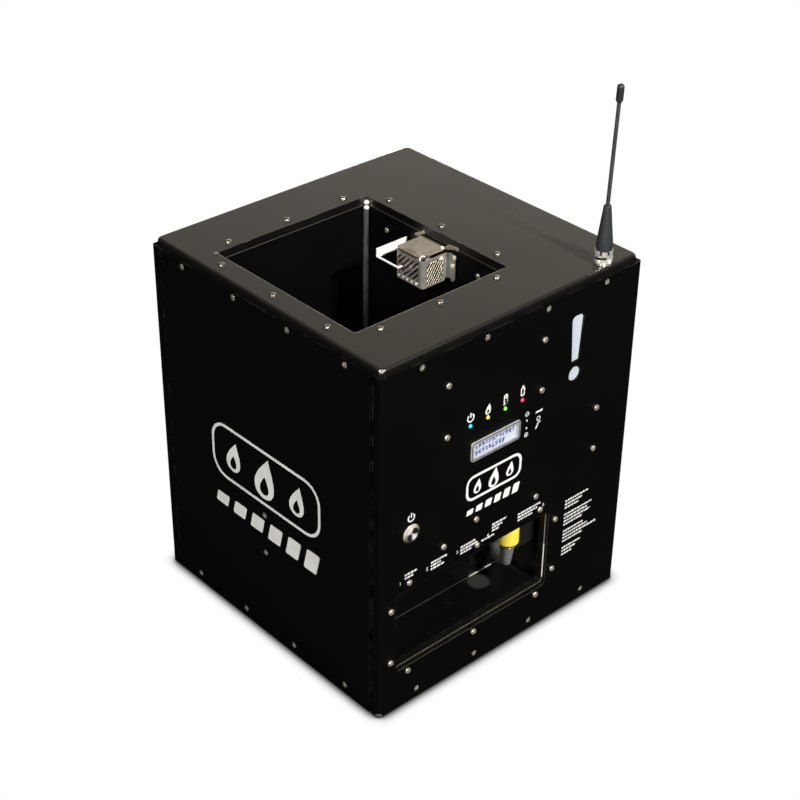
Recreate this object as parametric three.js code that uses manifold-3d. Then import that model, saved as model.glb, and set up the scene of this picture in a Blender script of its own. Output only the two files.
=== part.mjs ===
// Stage flame machine: a folded steel box whose open well throws a flame upwards past a caged igniter.
// Millimetres. The origin is the middle of the underside, +Z is up and the control panel faces -Y.
import * as THREE from 'three';
import { mergeVertices } from 'three/addons/utils/BufferGeometryUtils.js';
import Module from 'manifold-3d';

const wasm = await Module();
wasm.setup();

// General: clearances and the faceting of round pieces
const seat = 0.3;
const overrun = 5;
const weld = 0.0001;
const fineSides = 28;
const roundSides = 20;
const smallSides = 12;
const cornerSteps = 3;
const nutSides = 6;

// Case: two plain side walls, a front and a rear panel with short side returns, a base tray and a lid pan
const width = 300;
const depth = 300;
const wallHeight = 344;
const lidRise = 6.6;
const wallSheet = 2;
const panSheet = 1.5;
const panelReturn = 12;
const panelBend = 3;
const trayFlange = 20;
const trayRelief = 4;
const lidFlange = 20;
const lidBend = 3;
const lidCorner = 3;

// Well: the square shaft that the flame leaves by, hung from the lid
const wellMargin = 24.6;
const wellY = -1;
const wellWidth = 170;
const wellLength = 180;
const wellCorner = 3;
const lipDepth = 8;
const linerHeight = 158;
const linerTopFlange = 16;
const linerBottomFlange = 12;
const floorDrainRadius = 5;
const floorDrainRise = 60;

// Igniter on the right-hand wall of the well: a slotted cage, its cover and the shelf beside it
const cageSheet = 1.2;
const cageReach = 31.6;
const cageFront = -18;
const cageRear = 16.6;
const cageTop = 335.8;
const cageBottom = 309.2;
const cageBend = 3;
const cageCurl = 3.9;
const cageCurlProud = 0.3;
const cageFold = 3.2;
const cageWing = 9.4;
const cageWingCorner = 4.6;
const cageNotch = 2.4;
const louvreSheet = 0.8;
const louvreWidth = 2.5;
const louvrePitch = 5.5;
const louvreTurn = 134;
const louvreTilt = 22;
const louvreShift = 1.45;
const louvreHold = 1.4;
const tabWidth = 2.6;
const tabHeight = 3.2;
const tabTilt = 32;
const louvreFront = 3.9;
const louvreRear = 2.6;
const louvreLow = 5;
const louvreHigh = 2.6;
const fineSlot = 0.95;
const finePitch = 3.3;
const fineTurn = 57;
const fineBridge = 1.2;
const fineBridgePitch = 4.75;
const fineLeft = 7;
const fineRight = 9;
const fineLow = 2.2;
const fineHigh = 3.6;
const coverRise = 1.7;
const coverSheet = 1.2;
const coverInset = 0.2;
const coverSetBack = 3;
const coverStrip = 3;
const coverCornerCut = 2;
const earProud = 1.8;
const earLength = 11.5;
const earFrontReach = 16.2;
const earFrontRise = 6.8;
const earFrontFall = 1;
const earRearReach = 6.6;
const earRearRise = 7.2;
const earThickness = 3;
const shelfReach = 38.6;
const shelfLength = 18.2;
const shelfHeight = 324;
const shelfFlange = 7.4;
const shelfDrop = 2.2;
const shelfFlangeEnd = 2.6;
const shelfCut = 6.5;
const shelfRail = 1.8;
const shelfFoot = 6.8;
const shelfTail = 9;
const shelfHook = 2;
const electrodeHeight = 321;
const electrodeSpacing = 13;
const electrodeRadius = 0.9;
const electrodeLength = 11;
const electrodeHook = 3.4;
const insulatorRadius = 3.2;
const insulatorLength = 13;
const insulatorCollar = 4.6;
const insulatorCollarLength = 4;
const coilDepth = 36;
const coilLength = 46;
const coilHeight = 44;
const coilRib = 2;
const coilRibPitch = 9;

// Fuel system: tank, pump, valve and nozzle
const nozzleBase = 11;
const nozzleTip = 3.6;
const nozzleBore = 1.6;
const nozzleBoreDepth = 12;
const nozzleHeight = 26;
const nozzleStem = 6;
const valveWidth = 40;
const valveHeight = 34;
const coilCanRadius = 15;
const coilCanHeight = 40;
const tankWidth = 84;
const tankLength = 168;
const tankHeight = 186;
const tankMargin = 6;
const tankRearMargin = 10;
const tankEdge = 12;
const tankNeck = 15;
const tankNeckHeight = 14;
const tankNeckOffset = 38;
const capRadius = 21;
const capWall = 2.5;
const capKnobs = 12;
const capKnob = 1.6;
const pumpX = -8;
const pumpY = 44;
const pumpAxis = 42;
const motorRadius = 26;
const motorLength = 72;
const headLength = 28;
const headWidth = 54;
const headCorner = 12;
const portRadius = 6;
const portLength = 9;
const cradleLength = 46;
const cradleSheet = 3;
const cradleFoot = 13;
const hoseRadius = 5;
const hoseSides = 10;
const hoseSteps = 36;

// Electrics inside the case
const batteryWidth = 65;
const batteryLength = 151;
const batteryHeight = 94;
const batteryMargin = 5;
const batteryTerminal = 5;
const strapWidth = 22;
const strapFoot = 11;
const boardSheet = 1.6;
const boardStandOff = 16;
const boardWidth = 128;
const boardHeight = 104;
const boardOffset = -1.2;
const boardZ = 264;
const postRadius = 3;
const postSpanX = 110.3;
const postLowZ = 260.8;
const postHighZ = 310.3;
const relaySize = 15;
const relayPitch = 20;
const relayCount = 4;
const radioMargin = 44.4;
const radioZ = 191;
const radioWidth = 40;
const radioHeight = 62;
const radioDepth = 20;
const leadRadius = 1.5;
const leadSides = 8;
const leadSteps = 40;

// Connector bay low on the front panel
const bayMargin = 20.1;
const bayWidth = 181;
const bayBottom = 45.5;
const bayHeight = 79;
const bayCorner = 5;
const bayReveal = 1.6;
const bayRevealTop = 0.5;
const bayRevealBottom = 3.7;
const bayLip = 6;
const bayFrameBorder = 13;
const bayBoxMargin = 3.4;
const bayBoxReach = 61.9;
const bayBoxDepth = 52;
const bayCeiling = 140;
const socketOffsets = [14.9, 48.4, 82.4, 120.9, 154.1];
const socketSetBack = 22;
const socketWidth = 26;
const socketLength = 31;
const socketCorner = 3;
const socketPlate = 2.2;
const socketBarrel = 11.5;
const socketBarrelHeight = 20;
const socketMouth = 8.2;
const socketMouthDepth = 14;
const plugSocket = 4;
const plugRadius = 10.2;
const plugNose = 7.6;
const plugNoseLength = 12;
const plugSleeve = 43.8;
const plugRib = 0.6;
const bootTop = 6.9;
const bootTip = 4.2;
const bootRound = 1.4;
const bootLength = 25;
const bootRing = 7.35;
const bootRingLength = 4;

// Control panel: display, indicator lamps, power button and the lit status window
const displayMargin = 128.4;
const displayZ = 233.5;
const displayWidth = 57.7;
const displayHeight = 19.2;
const displayRim = 3.4;
const displayCorner = 3;
const displayProud = 1.2;
const displayBody = 12;
const lampPitch = 20.2;
const lampOffset = -29.9;
const lampZ = 260.6;
const lampRadius = 1.9;
const lampCollar = 2.8;
const lampCollarLength = 1.4;
const lampProud = 1.2;
const lampNames = ['power', 'ignition', 'charge', 'fuel'];
const buttonMargin = 34.4;
const buttonZ = 183.1;
const buttonRadius = 9.1;
const buttonFace = 6.6;
const buttonProud = 2;
const buttonBarrel = 8;
const buttonBarrelLength = 28;
const buttonCap = 6;
const buttonCapLength = 6;
const buttonDish = 1.1;
const buttonRim = 0.5;
const buttonTravel = 2.5;
const buttonNut = 11;
const buttonNutLength = 3;
const statusMargin = 77.2;
const statusBarBottom = 273.6;
const statusBarTop = 318.7;
const statusBarWide = 13.8;
const statusBarNarrow = 8.6;
const statusBarCorner = 4;
const statusDot = 6.9;
const statusDotZ = 260.9;
const statusRecess = 1.2;
const statusBoxDepth = 14;
const statusBoxMargin = 5;

// Antenna by the front right-hand corner of the lid
const antennaMarginX = 39;
const antennaMarginY = 10.8;
const jackFlange = 7.1;
const jackFlangeHeight = 2.4;
const jackNeck = 4.7;
const jackBody = 5.6;
const jackBodyLength = 16;
const jackNutHeight = 3;
const jackNutRadius = 6.7;
const ringRadius = 7.8;
const ringBore = 5.2;
const ringHeight = 10.6;
const ringFingers = 7;
const fingerSlot = 2.2;
const fingerDepth = 3.8;
const fingerWall = 1;
const fingerTurn = 227.6;
const lobeRadius = 2.6;
const lobeReach = 5.6;
const lobeHeight = 3.8;
const lobeTurn = 212.6;
const bootSink = 3.4;
const bootBase = 7.2;
const bootNeck = 3.3;
const bootHeight = 44.4;
const whipRadius = 1.75;
const whipLength = 91;
const whipLean = 1.45;
const whipLeanTo = -41.7;
const tipRadius = 3.1;
const tipLength = 15.6;

// Places worked out from the sizes above
const halfWidth = width / 2;
const halfDepth = depth / 2;
const height = wallHeight + lidRise;
const insideX = halfWidth - wallSheet;
const insideY = halfDepth - wallSheet;
const panX = insideX - seat;
const panY = insideY - seat;
const trayTop = panSheet + seat;
const lidUnder = height - panSheet;
const panelBack = -insideY + seat;
const linerCorner = wellCorner + panSheet + seat;
const linerHalfX = wellWidth / 2 + panSheet + seat;
const linerHalfY = wellLength / 2 + panSheet + seat;
const wellX = -halfWidth + wellMargin + wellWidth / 2;
const linerTop = lidUnder - seat;
const linerBottom = linerTop - linerHeight;
const floorUnder = linerBottom + panSheet + seat;
const wellWallX = wellX + linerHalfX;
const cageWall = wellWallX - seat;
const cageLeft = cageWall - cageReach;
const bayX = -halfWidth + bayMargin + bayWidth / 2;
const bayTop = bayBottom + bayHeight;
const bayLeft = bayX - bayWidth / 2;
const bayRight = bayX + bayWidth / 2;
const bayBoxLeft = -insideX + bayBoxMargin;
const bayBoxRight = bayRight + bayBoxReach;
const socketsX = socketOffsets.map((offset) => bayLeft + offset);
const socketY = -halfDepth + socketSetBack;
const socketFace = bayCeiling - seat - socketPlate;
const displayX = -halfWidth + displayMargin;
const lampX = displayX + lampOffset;
const boardX = displayX + boardOffset;
const buttonX = -halfWidth + buttonMargin;
const statusX = halfWidth - statusMargin;
const radioX = halfWidth - radioMargin;
const antennaX = halfWidth - antennaMarginX;
const antennaY = -halfDepth + antennaMarginY;
const batteryX = -insideX + batteryMargin + batteryWidth / 2;
const tankX = insideX - tankMargin - tankWidth / 2;
const tankY = insideY - tankRearMargin - tankLength / 2;
const tankNeckY = tankY + tankNeckOffset;
const capHeight = tankNeckHeight + capWall;

const group = new THREE.Group();

// Turns a closed geometry into a solid that can be cut and joined.
function solid(geometry) {
  const bare = geometry.clone();
  bare.deleteAttribute('normal');
  bare.deleteAttribute('uv');
  const merged = mergeVertices(bare, weld);
  return new wasm.Manifold(new wasm.Mesh({
    numProp: 3,
    vertProperties: new Float32Array(merged.attributes.position.array),
    triVerts: new Uint32Array(merged.index.array),
  }));
}

// Adds a finished solid to the group as a named mesh with a material of its own.
function place(name, body, finish, parent = group) {
  const data = body.getMesh();
  const geometry = new THREE.BufferGeometry();
  geometry.setAttribute('position', new THREE.BufferAttribute(data.vertProperties, 3));
  geometry.setIndex(new THREE.BufferAttribute(data.triVerts, 1));
  geometry.computeVertexNormals();
  const mesh = new THREE.Mesh(geometry, new THREE.MeshStandardMaterial(finish));
  mesh.name = name;
  parent.add(mesh);
  return mesh;
}

function joined(parts) {
  return parts.reduce((sum, part) => sum.add(part));
}

function without(body, cuts) {
  return cuts.reduce((rest, cut) => rest.subtract(cut), body);
}

// A block given by its faces: [left, right], [front, rear], [bottom, top].
function block([x0, x1], [y0, y1], [z0, z1]) {
  const geometry = new THREE.BoxGeometry(x1 - x0, y1 - y0, z1 - z0);
  geometry.translate((x0 + x1) / 2, (y0 + y1) / 2, (z0 + z1) / 2);
  return solid(geometry);
}

// A rectangle with round corners, from its middle and sizes.
function roundedRectangle(u, v, across, up, radius) {
  const outline = new THREE.Shape();
  const a = across / 2 - radius;
  const b = up / 2 - radius;
  outline.absarc(u + a, v - b, radius, -Math.PI / 2, 0);
  outline.absarc(u + a, v + b, radius, 0, Math.PI / 2);
  outline.absarc(u - a, v + b, radius, Math.PI / 2, Math.PI);
  outline.absarc(u - a, v - b, radius, Math.PI, Math.PI * 1.5);
  outline.closePath();
  return outline;
}

function extruded(outline, thickness, curveSegments) {
  return new THREE.ExtrudeGeometry(outline, { depth: thickness, bevelEnabled: false, curveSegments });
}

// Plates: an outline in plan pushed up, one in front view pushed back, one in side view pushed right.
function plateZ(outline, [z0, z1], curveSegments = cornerSteps) {
  const geometry = extruded(outline, z1 - z0, curveSegments);
  geometry.translate(0, 0, z0);
  return solid(geometry);
}

function plateY(outline, [y0, y1], curveSegments = cornerSteps) {
  const geometry = extruded(outline, y1 - y0, curveSegments);
  geometry.rotateX(Math.PI / 2);
  geometry.translate(0, y1, 0);
  return solid(geometry);
}

function plateX(outline, [x0, x1], curveSegments = cornerSteps) {
  const geometry = extruded(outline, x1 - x0, curveSegments);
  const turn = new THREE.Matrix4().makeBasis(
    new THREE.Vector3(0, 1, 0),
    new THREE.Vector3(0, 0, 1),
    new THREE.Vector3(1, 0, 0),
  );
  geometry.applyMatrix4(turn);
  geometry.translate(x0, 0, 0);
  return solid(geometry);
}

// A turned piece from [radius, along] pairs, standing on Z, or lying along +Y or +X.
function turned(profile, [x, y, z], sides = roundSides, axis = 'z') {
  const points = profile.map(([radius, along]) => new THREE.Vector2(radius, along));
  const geometry = new THREE.LatheGeometry(points, sides);
  if (axis === 'z') {
    geometry.rotateX(Math.PI / 2);
  }
  if (axis === 'x') {
    geometry.rotateZ(-Math.PI / 2);
  }
  geometry.translate(x, y, z);
  return solid(geometry);
}

function rod(radius, length, at, sides = roundSides, axis = 'z') {
  return turned([[0, 0], [radius, 0], [radius, length], [0, length]], at, sides, axis);
}

// A ring of constant section, from its inner and outer radius.
function collar(inner, outer, length, at, sides = roundSides, axis = 'z') {
  return turned([[inner, 0], [outer, 0], [outer, length], [inner, length], [inner, 0]], at, sides, axis);
}

// A tube along a smooth curve through the points.
function hose(points, radius, sides, steps) {
  const route = points.map((point) => new THREE.Vector3(...point));
  const curve = new THREE.CatmullRomCurve3(route, false, 'centripetal');
  const section = new THREE.Shape();
  for (let i = 0; i < sides; i += 1) {
    const turn = (i / sides) * Math.PI * 2;
    const corner = [radius * Math.cos(turn), radius * Math.sin(turn)];
    if (i === 0) {
      section.moveTo(...corner);
    } else {
      section.lineTo(...corner);
    }
  }
  section.closePath();
  return solid(new THREE.ExtrudeGeometry(section, { steps, extrudePath: curve, bevelEnabled: false }));
}

// Finishes
const blackPaint = () => ({ color: 0x0e0e0f, roughness: 0.55, metalness: 0.1 });
const lidPaint = () => ({ color: 0x3f3a34, roughness: 0.7, metalness: 0.1 });
const stainless = () => ({ color: 0x9b968c, roughness: 0.35, metalness: 0.95 });
const nickel = () => ({ color: 0xc9c6bf, roughness: 0.2, metalness: 1 });
const brass = () => ({ color: 0xb08d4a, roughness: 0.35, metalness: 1 });
const ceramic = () => ({ color: 0xe8e2d4, roughness: 0.4, metalness: 0 });
const blackPlastic = () => ({ color: 0x141415, roughness: 0.5, metalness: 0 });
const blackRubber = () => ({ color: 0x1a1b1c, roughness: 0.8, metalness: 0 });
const lens = (color) => ({ color, roughness: 0.25, metalness: 0 });
const castAluminium = () => ({ color: 0xa9acae, roughness: 0.45, metalness: 0.9 });
const board = () => ({ color: 0x1d5a35, roughness: 0.6, metalness: 0 });

// The tray that the walls are screwed to: a floor with its four edges folded up and a notch at each corner.
function makeBaseTray() {
  const outer = block([-panX, panX], [-panY, panY], [0, trayFlange]);
  const inner = block(
    [-panX + panSheet, panX - panSheet],
    [-panY + panSheet, panY - panSheet],
    [panSheet, trayFlange + overrun],
  );
  const notches = [];
  for (const sideX of [-1, 1]) {
    for (const sideY of [-1, 1]) {
      const notch = [-trayRelief, trayRelief];
      const x = notch.map((edge) => sideX * panX + edge);
      const y = notch.map((edge) => sideY * panY + edge);
      notches.push(block(x, y, [-overrun, height]));
    }
  }
  place('base_tray', without(outer, [inner, ...notches]), blackPaint());
}

// A plain wall between the returns of the front and rear panels.
function makeSideWall(name, side) {
  const reach = halfDepth - panelReturn - seat;
  const faces = [side * halfWidth, side * insideX].sort((a, b) => a - b);
  place(name, block(faces, [-reach, reach], [0, wallHeight]), blackPaint());
}

// A panel across the full width, with round corners and short returns along the sides.
function foldedPanel(facing) {
  const inner = panelBend - wallSheet;
  const x = halfWidth - panelBend;
  const y = halfDepth - panelBend;
  const end = halfDepth - panelReturn;
  const section = new THREE.Shape();
  section.moveTo(-halfWidth, -end);
  section.absarc(-x, -y, panelBend, Math.PI, Math.PI * 1.5);
  section.absarc(x, -y, panelBend, Math.PI * 1.5, Math.PI * 2);
  section.lineTo(halfWidth, -end);
  section.lineTo(insideX, -end);
  section.absarc(x, -y, inner, 0, -Math.PI / 2, true);
  section.absarc(-x, -y, inner, -Math.PI / 2, -Math.PI, true);
  section.lineTo(-insideX, -end);
  section.closePath();
  const panel = plateZ(section, [0, wallHeight]);
  return facing > 0 ? panel.rotate([0, 0, 180]) : panel;
}

// The outline of the lit bar over its dot, grown by a margin.
function statusBar(margin) {
  const top = statusBarWide / 2 + margin;
  const bottom = statusBarNarrow / 2 + margin;
  const corner = statusBarCorner + margin;
  const z = statusBarTop + margin - corner;
  const outline = new THREE.Shape();
  outline.moveTo(statusX + top, z);
  outline.absarc(statusX + top - corner, z, corner, 0, Math.PI / 2);
  outline.absarc(statusX - top + corner, z, corner, Math.PI / 2, Math.PI);
  outline.lineTo(statusX - bottom, statusBarBottom - margin);
  outline.lineTo(statusX + bottom, statusBarBottom - margin);
  outline.closePath();
  return outline;
}

function makeFrontPanel() {
  const through = [-halfDepth - overrun, -insideY + overrun];
  const bay = roundedRectangle(
    bayX,
    (bayBottom - bayRevealBottom + bayTop + bayRevealTop) / 2,
    bayWidth + 2 * bayReveal,
    bayHeight + bayRevealBottom + bayRevealTop,
    bayCorner,
  );
  const window = roundedRectangle(
    displayX,
    displayZ,
    displayWidth - displayRim,
    displayHeight - displayRim,
    displayCorner / 2,
  );
  const cuts = [
    plateY(bay, through),
    plateY(window, through),
    plateY(statusBar(seat), through, cornerSteps * 2),
    rod(statusDot + seat, through[1] - through[0], [statusX, through[0], statusDotZ], roundSides, 'y'),
    rod(buttonBarrel + seat, through[1] - through[0], [buttonX, through[0], buttonZ], roundSides, 'y'),
  ];
  lampNames.forEach((name, i) => {
    const at = [lampX + i * lampPitch, through[0], lampZ];
    cuts.push(rod(lampRadius + seat, through[1] - through[0], at, smallSides, 'y'));
  });
  place('front_panel', without(foldedPanel(-1), cuts), blackPaint());
}

// The lid: a pan with rounded upper edges, flanges inside the walls and a lip turned down into the well.
function makeLid() {
  const outline = roundedRectangle(0, 0, 2 * (panX - lidBend), 2 * (panY - lidBend), lidCorner);
  const low = wallHeight - lidFlange;
  const shell = new THREE.ExtrudeGeometry(outline, {
    depth: height - low,
    bevelEnabled: true,
    bevelSize: lidBend,
    bevelThickness: lidBend,
    bevelSegments: cornerSteps,
    curveSegments: cornerSteps,
  });
  shell.translate(0, 0, low - lidBend);
  const trimmed = solid(shell).subtract(block([-width, width], [-depth, depth], [low - 2 * lidBend, low]));
  const cavity = plateZ(
    roundedRectangle(0, 0, 2 * (panX - panSheet), 2 * (panY - panSheet), lidCorner - panSheet),
    [low - overrun, lidUnder],
  );
  const lipOutline = roundedRectangle(
    wellX,
    wellY,
    wellWidth + 2 * panSheet,
    wellLength + 2 * panSheet,
    wellCorner + panSheet,
  );
  const lip = plateZ(lipOutline, [height - lipDepth, lidUnder + panSheet / 2]);
  const opening = plateZ(
    roundedRectangle(wellX, wellY, wellWidth, wellLength, wellCorner),
    [height - lipDepth - overrun, height + overrun],
  );
  const jackHole = rod(jackBody + seat, 2 * overrun, [antennaX, antennaY, lidUnder - overrun], roundSides);
  const lid = without(trimmed.subtract(cavity).add(lip), [opening, jackHole]);
  place('lid', lid, lidPaint());
}

// The walls of the well: a round-cornered shaft with a flange under the lid and one that carries the floor.
function makeLiner() {
  const across = 2 * linerHalfX;
  const along = 2 * linerHalfY;
  const outside = linerCorner + panSheet;
  const tube = plateZ(
    roundedRectangle(wellX, wellY, across + 2 * panSheet, along + 2 * panSheet, outside),
    [linerBottom, linerTop],
    cornerSteps * 2,
  );
  const topFlange = plateZ(
    roundedRectangle(wellX, wellY, across + 2 * linerTopFlange, along + 2 * linerTopFlange, linerCorner),
    [linerTop - panSheet, linerTop],
  );
  const bore = plateZ(
    roundedRectangle(wellX, wellY, across, along, linerCorner),
    [linerBottom + panSheet, linerTop + overrun],
    cornerSteps * 2,
  );
  const floorWindow = plateZ(
    roundedRectangle(
      wellX,
      wellY,
      across - 2 * linerBottomFlange,
      along - 2 * linerBottomFlange,
      linerCorner,
    ),
    [linerBottom - overrun, linerTop],
  );
  const igniterHoles = [-1, 1].map((side) => rod(
    insulatorRadius + seat,
    2 * overrun,
    [wellWallX - overrun, electrodeY(side), electrodeHeight],
    smallSides,
    'x',
  ));
  place('well_liner', without(tube.add(topFlange), [bore, floorWindow, ...igniterHoles]), blackPaint());
}

function makeWellFloor() {
  const plate = plateZ(
    roundedRectangle(wellX, wellY, 2 * (linerHalfX - seat), 2 * (linerHalfY - seat), linerCorner),
    [floorUnder, floorUnder + wallSheet],
  );
  const cuts = [rod(nozzleStem + seat, 2 * overrun, [wellX, wellY, floorUnder - overrun])];
  for (const sideX of [-1, 1]) {
    for (const sideY of [-1, 1]) {
      const at = [wellX + sideX * floorDrainRise, wellY + sideY * floorDrainRise, floorUnder - overrun];
      cuts.push(rod(floorDrainRadius, 2 * overrun, at, smallSides));
    }
  }
  place('well_floor', without(plate, cuts), blackPaint());
}

// The middle of the igniter, seen from the front, and the place of each electrode beside it.
function electrodeY(side) {
  return (cageFront + cageRear) / 2 + (side * electrodeSpacing) / 2;
}

// Slanting bars side by side, to be cut out of a window in a sheet. The outline is in the sheet's plane.
function slantedSlots([u0, u1], [v0, v1], slot, pitch, turn) {
  const middleU = (u0 + u1) / 2;
  const middleV = (v0 + v1) / 2;
  const reach = u1 - u0 + v1 - v0;
  const angle = THREE.MathUtils.degToRad(turn);
  const along = [Math.cos(angle), Math.sin(angle)];
  const count = Math.floor(reach / pitch / 2);
  const outlines = [];
  for (let i = -count; i <= count; i += 1) {
    const shift = i * pitch;
    const corners = [[-1, -1], [1, -1], [1, 1], [-1, 1]].map(([a, b]) => [
      middleU + shift + (a * reach * along[0]) / 2 - (b * slot * along[1]) / 2,
      middleV + (a * reach * along[1]) / 2 + (b * slot * along[0]) / 2,
    ]);
    const outline = new THREE.Shape();
    outline.moveTo(...corners[0]);
    corners.slice(1).forEach((corner) => outline.lineTo(...corner));
    outline.closePath();
    outlines.push(outline);
  }
  return outlines;
}

// The cage in plan: rear face, left face and front face in one strip, then a hollow fold into the wing.
function guardStrip(frontY, rearY) {
  const foldX = cageWall - cageSheet - cageFold;
  const foldY = frontY - cageFold;
  const inner = cageBend - cageSheet;
  const strip = new THREE.Shape();
  strip.moveTo(cageWall, frontY - cageWing);
  strip.absarc(foldX, foldY, cageFold + cageSheet, 0, Math.PI / 2);
  strip.lineTo(cageLeft + cageSheet, frontY + cageSheet);
  strip.absarc(cageLeft + cageBend, rearY - cageBend, inner, Math.PI, Math.PI / 2, true);
  strip.lineTo(cageWall, rearY - cageSheet);
  strip.lineTo(cageWall, rearY);
  strip.absarc(cageLeft + cageBend, rearY - cageBend, cageBend, Math.PI / 2, Math.PI);
  strip.lineTo(cageLeft, frontY);
  strip.absarc(foldX, foldY, cageFold, Math.PI / 2, 0, true);
  strip.lineTo(cageWall - cageSheet, frontY - cageWing);
  strip.closePath();
  return strip;
}

// The tilted blades that cross the window in the left face of the cage.
function louvres([y0, y1], [z0, z1]) {
  const reach = y1 - y0 + z1 - z0;
  const count = Math.floor(reach / louvrePitch / 2);
  const middle = cageLeft + cageSheet / 2;
  const across = [-louvreSheet / 2, louvreSheet / 2];
  const wide = [-louvreWidth / 2, louvreWidth / 2];
  const blades = [];
  for (let i = -count; i <= count; i += 1) {
    const y = wellY + (cageFront + cageRear) / 2 + louvreShift + i * louvrePitch;
    blades.push(
      block(across, [-reach / 2, reach / 2], wide)
        .rotate([0, -louvreTilt, 0])
        .rotate([louvreTurn, 0, 0])
        .translate([middle, y, (cageBottom + cageTop) / 2]),
    );
  }
  return joined(blades).intersect(block(
    [cageLeft - louvreSheet / 2, middle + cageSheet],
    [y0 - louvreHold, y1 + louvreHold],
    [z0 - louvreHold, z1 + louvreHold],
  ));
}

// The short lips pressed out of the left face below the gaps between the blades.
function louvreTabs([y0, y1], low) {
  const tabs = [];
  const half = tabWidth / 2;
  const slope = Math.tan(THREE.MathUtils.degToRad(louvreTurn - 90));
  const first = wellY + (cageFront + cageRear) / 2 + louvreShift + louvrePitch / 2;
  const shift = ((cageBottom + cageTop) / 2 - low) * slope;
  for (let y = first + shift; y > y0; y -= louvrePitch) {
    if (y < y1) {
      tabs.push(
        block([-louvreSheet / 2, louvreSheet / 2], [-half, half], [-tabHeight / 2, tabHeight / 2])
          .rotate([0, tabTilt, 0])
          .translate([cageLeft, y, low - tabHeight / 2]),
      );
    }
  }
  return tabs;
}

// The igniter cage: one folded sheet with tilted louvres in its left face, fine bridged slots in its front,
// a curled corner between them and a wing that is screwed to the wall of the well.
function makeIgniterGuard() {
  const frontY = wellY + cageFront;
  const rearY = wellY + cageRear;
  const faces = [cageBottom, cageTop];
  const curlX = cageLeft + cageCurl - cageCurlProud;
  const curlY = frontY + cageCurl - cageCurlProud;
  const tall = cageTop - cageBottom;
  const curl = collar(cageCurl - cageSheet, cageCurl, tall, [curlX, curlY, cageBottom], roundSides)
    .subtract(block([curlX + cageCurl / 2, cageWall], [curlY, rearY], [0, height]));
  const wingEnd = frontY - cageWing;
  const corner = new THREE.Shape();
  corner.moveTo(wingEnd - overrun, cageBottom - overrun);
  corner.lineTo(wingEnd + cageWingCorner, cageBottom - overrun);
  corner.lineTo(wingEnd + cageWingCorner, cageBottom);
  const cornerY = wingEnd + cageWingCorner;
  corner.absarc(cornerY, cageBottom + cageWingCorner, cageWingCorner, -Math.PI / 2, -Math.PI, true);
  corner.lineTo(wingEnd - overrun, cageBottom + cageWingCorner);
  corner.closePath();
  const notch = block(
    [cageWall - cageSheet - cageFold, cageWall + overrun],
    [frontY - cageFold - cageSheet, frontY + cageSheet + overrun],
    [cageBottom - overrun, cageBottom + cageNotch],
  );
  const windowY = [frontY + louvreFront, rearY - louvreRear];
  const windowZ = [cageBottom + louvreLow, cageTop - louvreHigh];
  const window = block([cageLeft - overrun, cageLeft + 2 * cageSheet], windowY, windowZ);
  const sheet = without(plateZ(guardStrip(frontY, rearY), faces, cornerSteps * 2), [
    block([cageLeft - overrun, curlX], [frontY - overrun, curlY], [0, height]),
    plateX(corner, [cageWall - 2 * cageSheet, cageWall + overrun]),
    notch,
    window,
  ]);
  const fineX = [cageLeft + fineLeft, cageWall - fineRight];
  const fineZ = [cageBottom + fineLow, cageTop - fineHigh];
  const throughY = [frontY - overrun, frontY + 2 * cageSheet];
  const fine = slantedSlots(fineX, fineZ, fineSlot, finePitch, fineTurn)
    .map((outline) => plateY(outline, throughY));
  const bridges = [];
  for (let x = fineX[0] + fineBridgePitch; x < fineX[1]; x += fineBridgePitch) {
    bridges.push(block([x - fineBridge, x], [frontY - 2 * overrun, frontY + overrun], [0, height]));
  }
  const holes = without(joined(fine).intersect(block(fineX, throughY, fineZ)), bridges);
  const raised = [curl, louvres(windowY, windowZ), ...louvreTabs(windowY, windowZ[0])];
  place('igniter_guard', joined([sheet.subtract(holes), ...raised]), stainless());
}

// The flat cover over the cage, with a strip along the wall of the well and an upturned ear at each end.
function makeGuardCover() {
  const z0 = cageTop + coverRise;
  const z1 = z0 + coverSheet;
  const left = cageLeft + coverInset;
  const front = wellY + cageFront + coverSetBack;
  const rear = wellY + cageRear;
  const outline = new THREE.Shape();
  outline.moveTo(left + coverCornerCut, front);
  outline.lineTo(cageWall, front);
  outline.lineTo(cageWall, rear);
  outline.lineTo(left + coverCornerCut, rear);
  outline.lineTo(left, rear - coverCornerCut);
  outline.lineTo(left, front + coverCornerCut);
  outline.closePath();
  const frontEnd = front - earFrontReach;
  const rearEnd = rear + earRearReach;
  const strip = block([cageWall - coverStrip, cageWall], [front, rearEnd], [z0, z1]);
  const earX = [cageWall - earProud - coverSheet, cageWall - earProud];
  const frontEar = new THREE.Shape();
  frontEar.moveTo(front + coverCornerCut, z0);
  frontEar.lineTo(front + coverCornerCut, z1);
  frontEar.lineTo(frontEnd + earLength, z1 + earFrontRise - earFrontFall);
  frontEar.lineTo(frontEnd, z1 + earFrontRise);
  frontEar.lineTo(frontEnd, z1 + earFrontRise - earThickness);
  frontEar.lineTo(frontEnd + earThickness, z1 + earFrontRise - earThickness);
  frontEar.closePath();
  const rearEar = new THREE.Shape();
  rearEar.moveTo(rearEnd - earThickness, z0);
  rearEar.lineTo(rearEnd, z0);
  rearEar.lineTo(rearEnd, z1 + earThickness / 4);
  rearEar.lineTo(rearEnd - earLength + earThickness / 4, z1 + earRearRise);
  rearEar.lineTo(rearEnd - earLength, z1 + earRearRise - earThickness);
  rearEar.closePath();
  place('guard_cover', joined([
    plateZ(outline, [z0, z1]),
    strip,
    plateX(frontEar, earX),
    plateX(rearEar, earX),
  ]), stainless());
}

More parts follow.
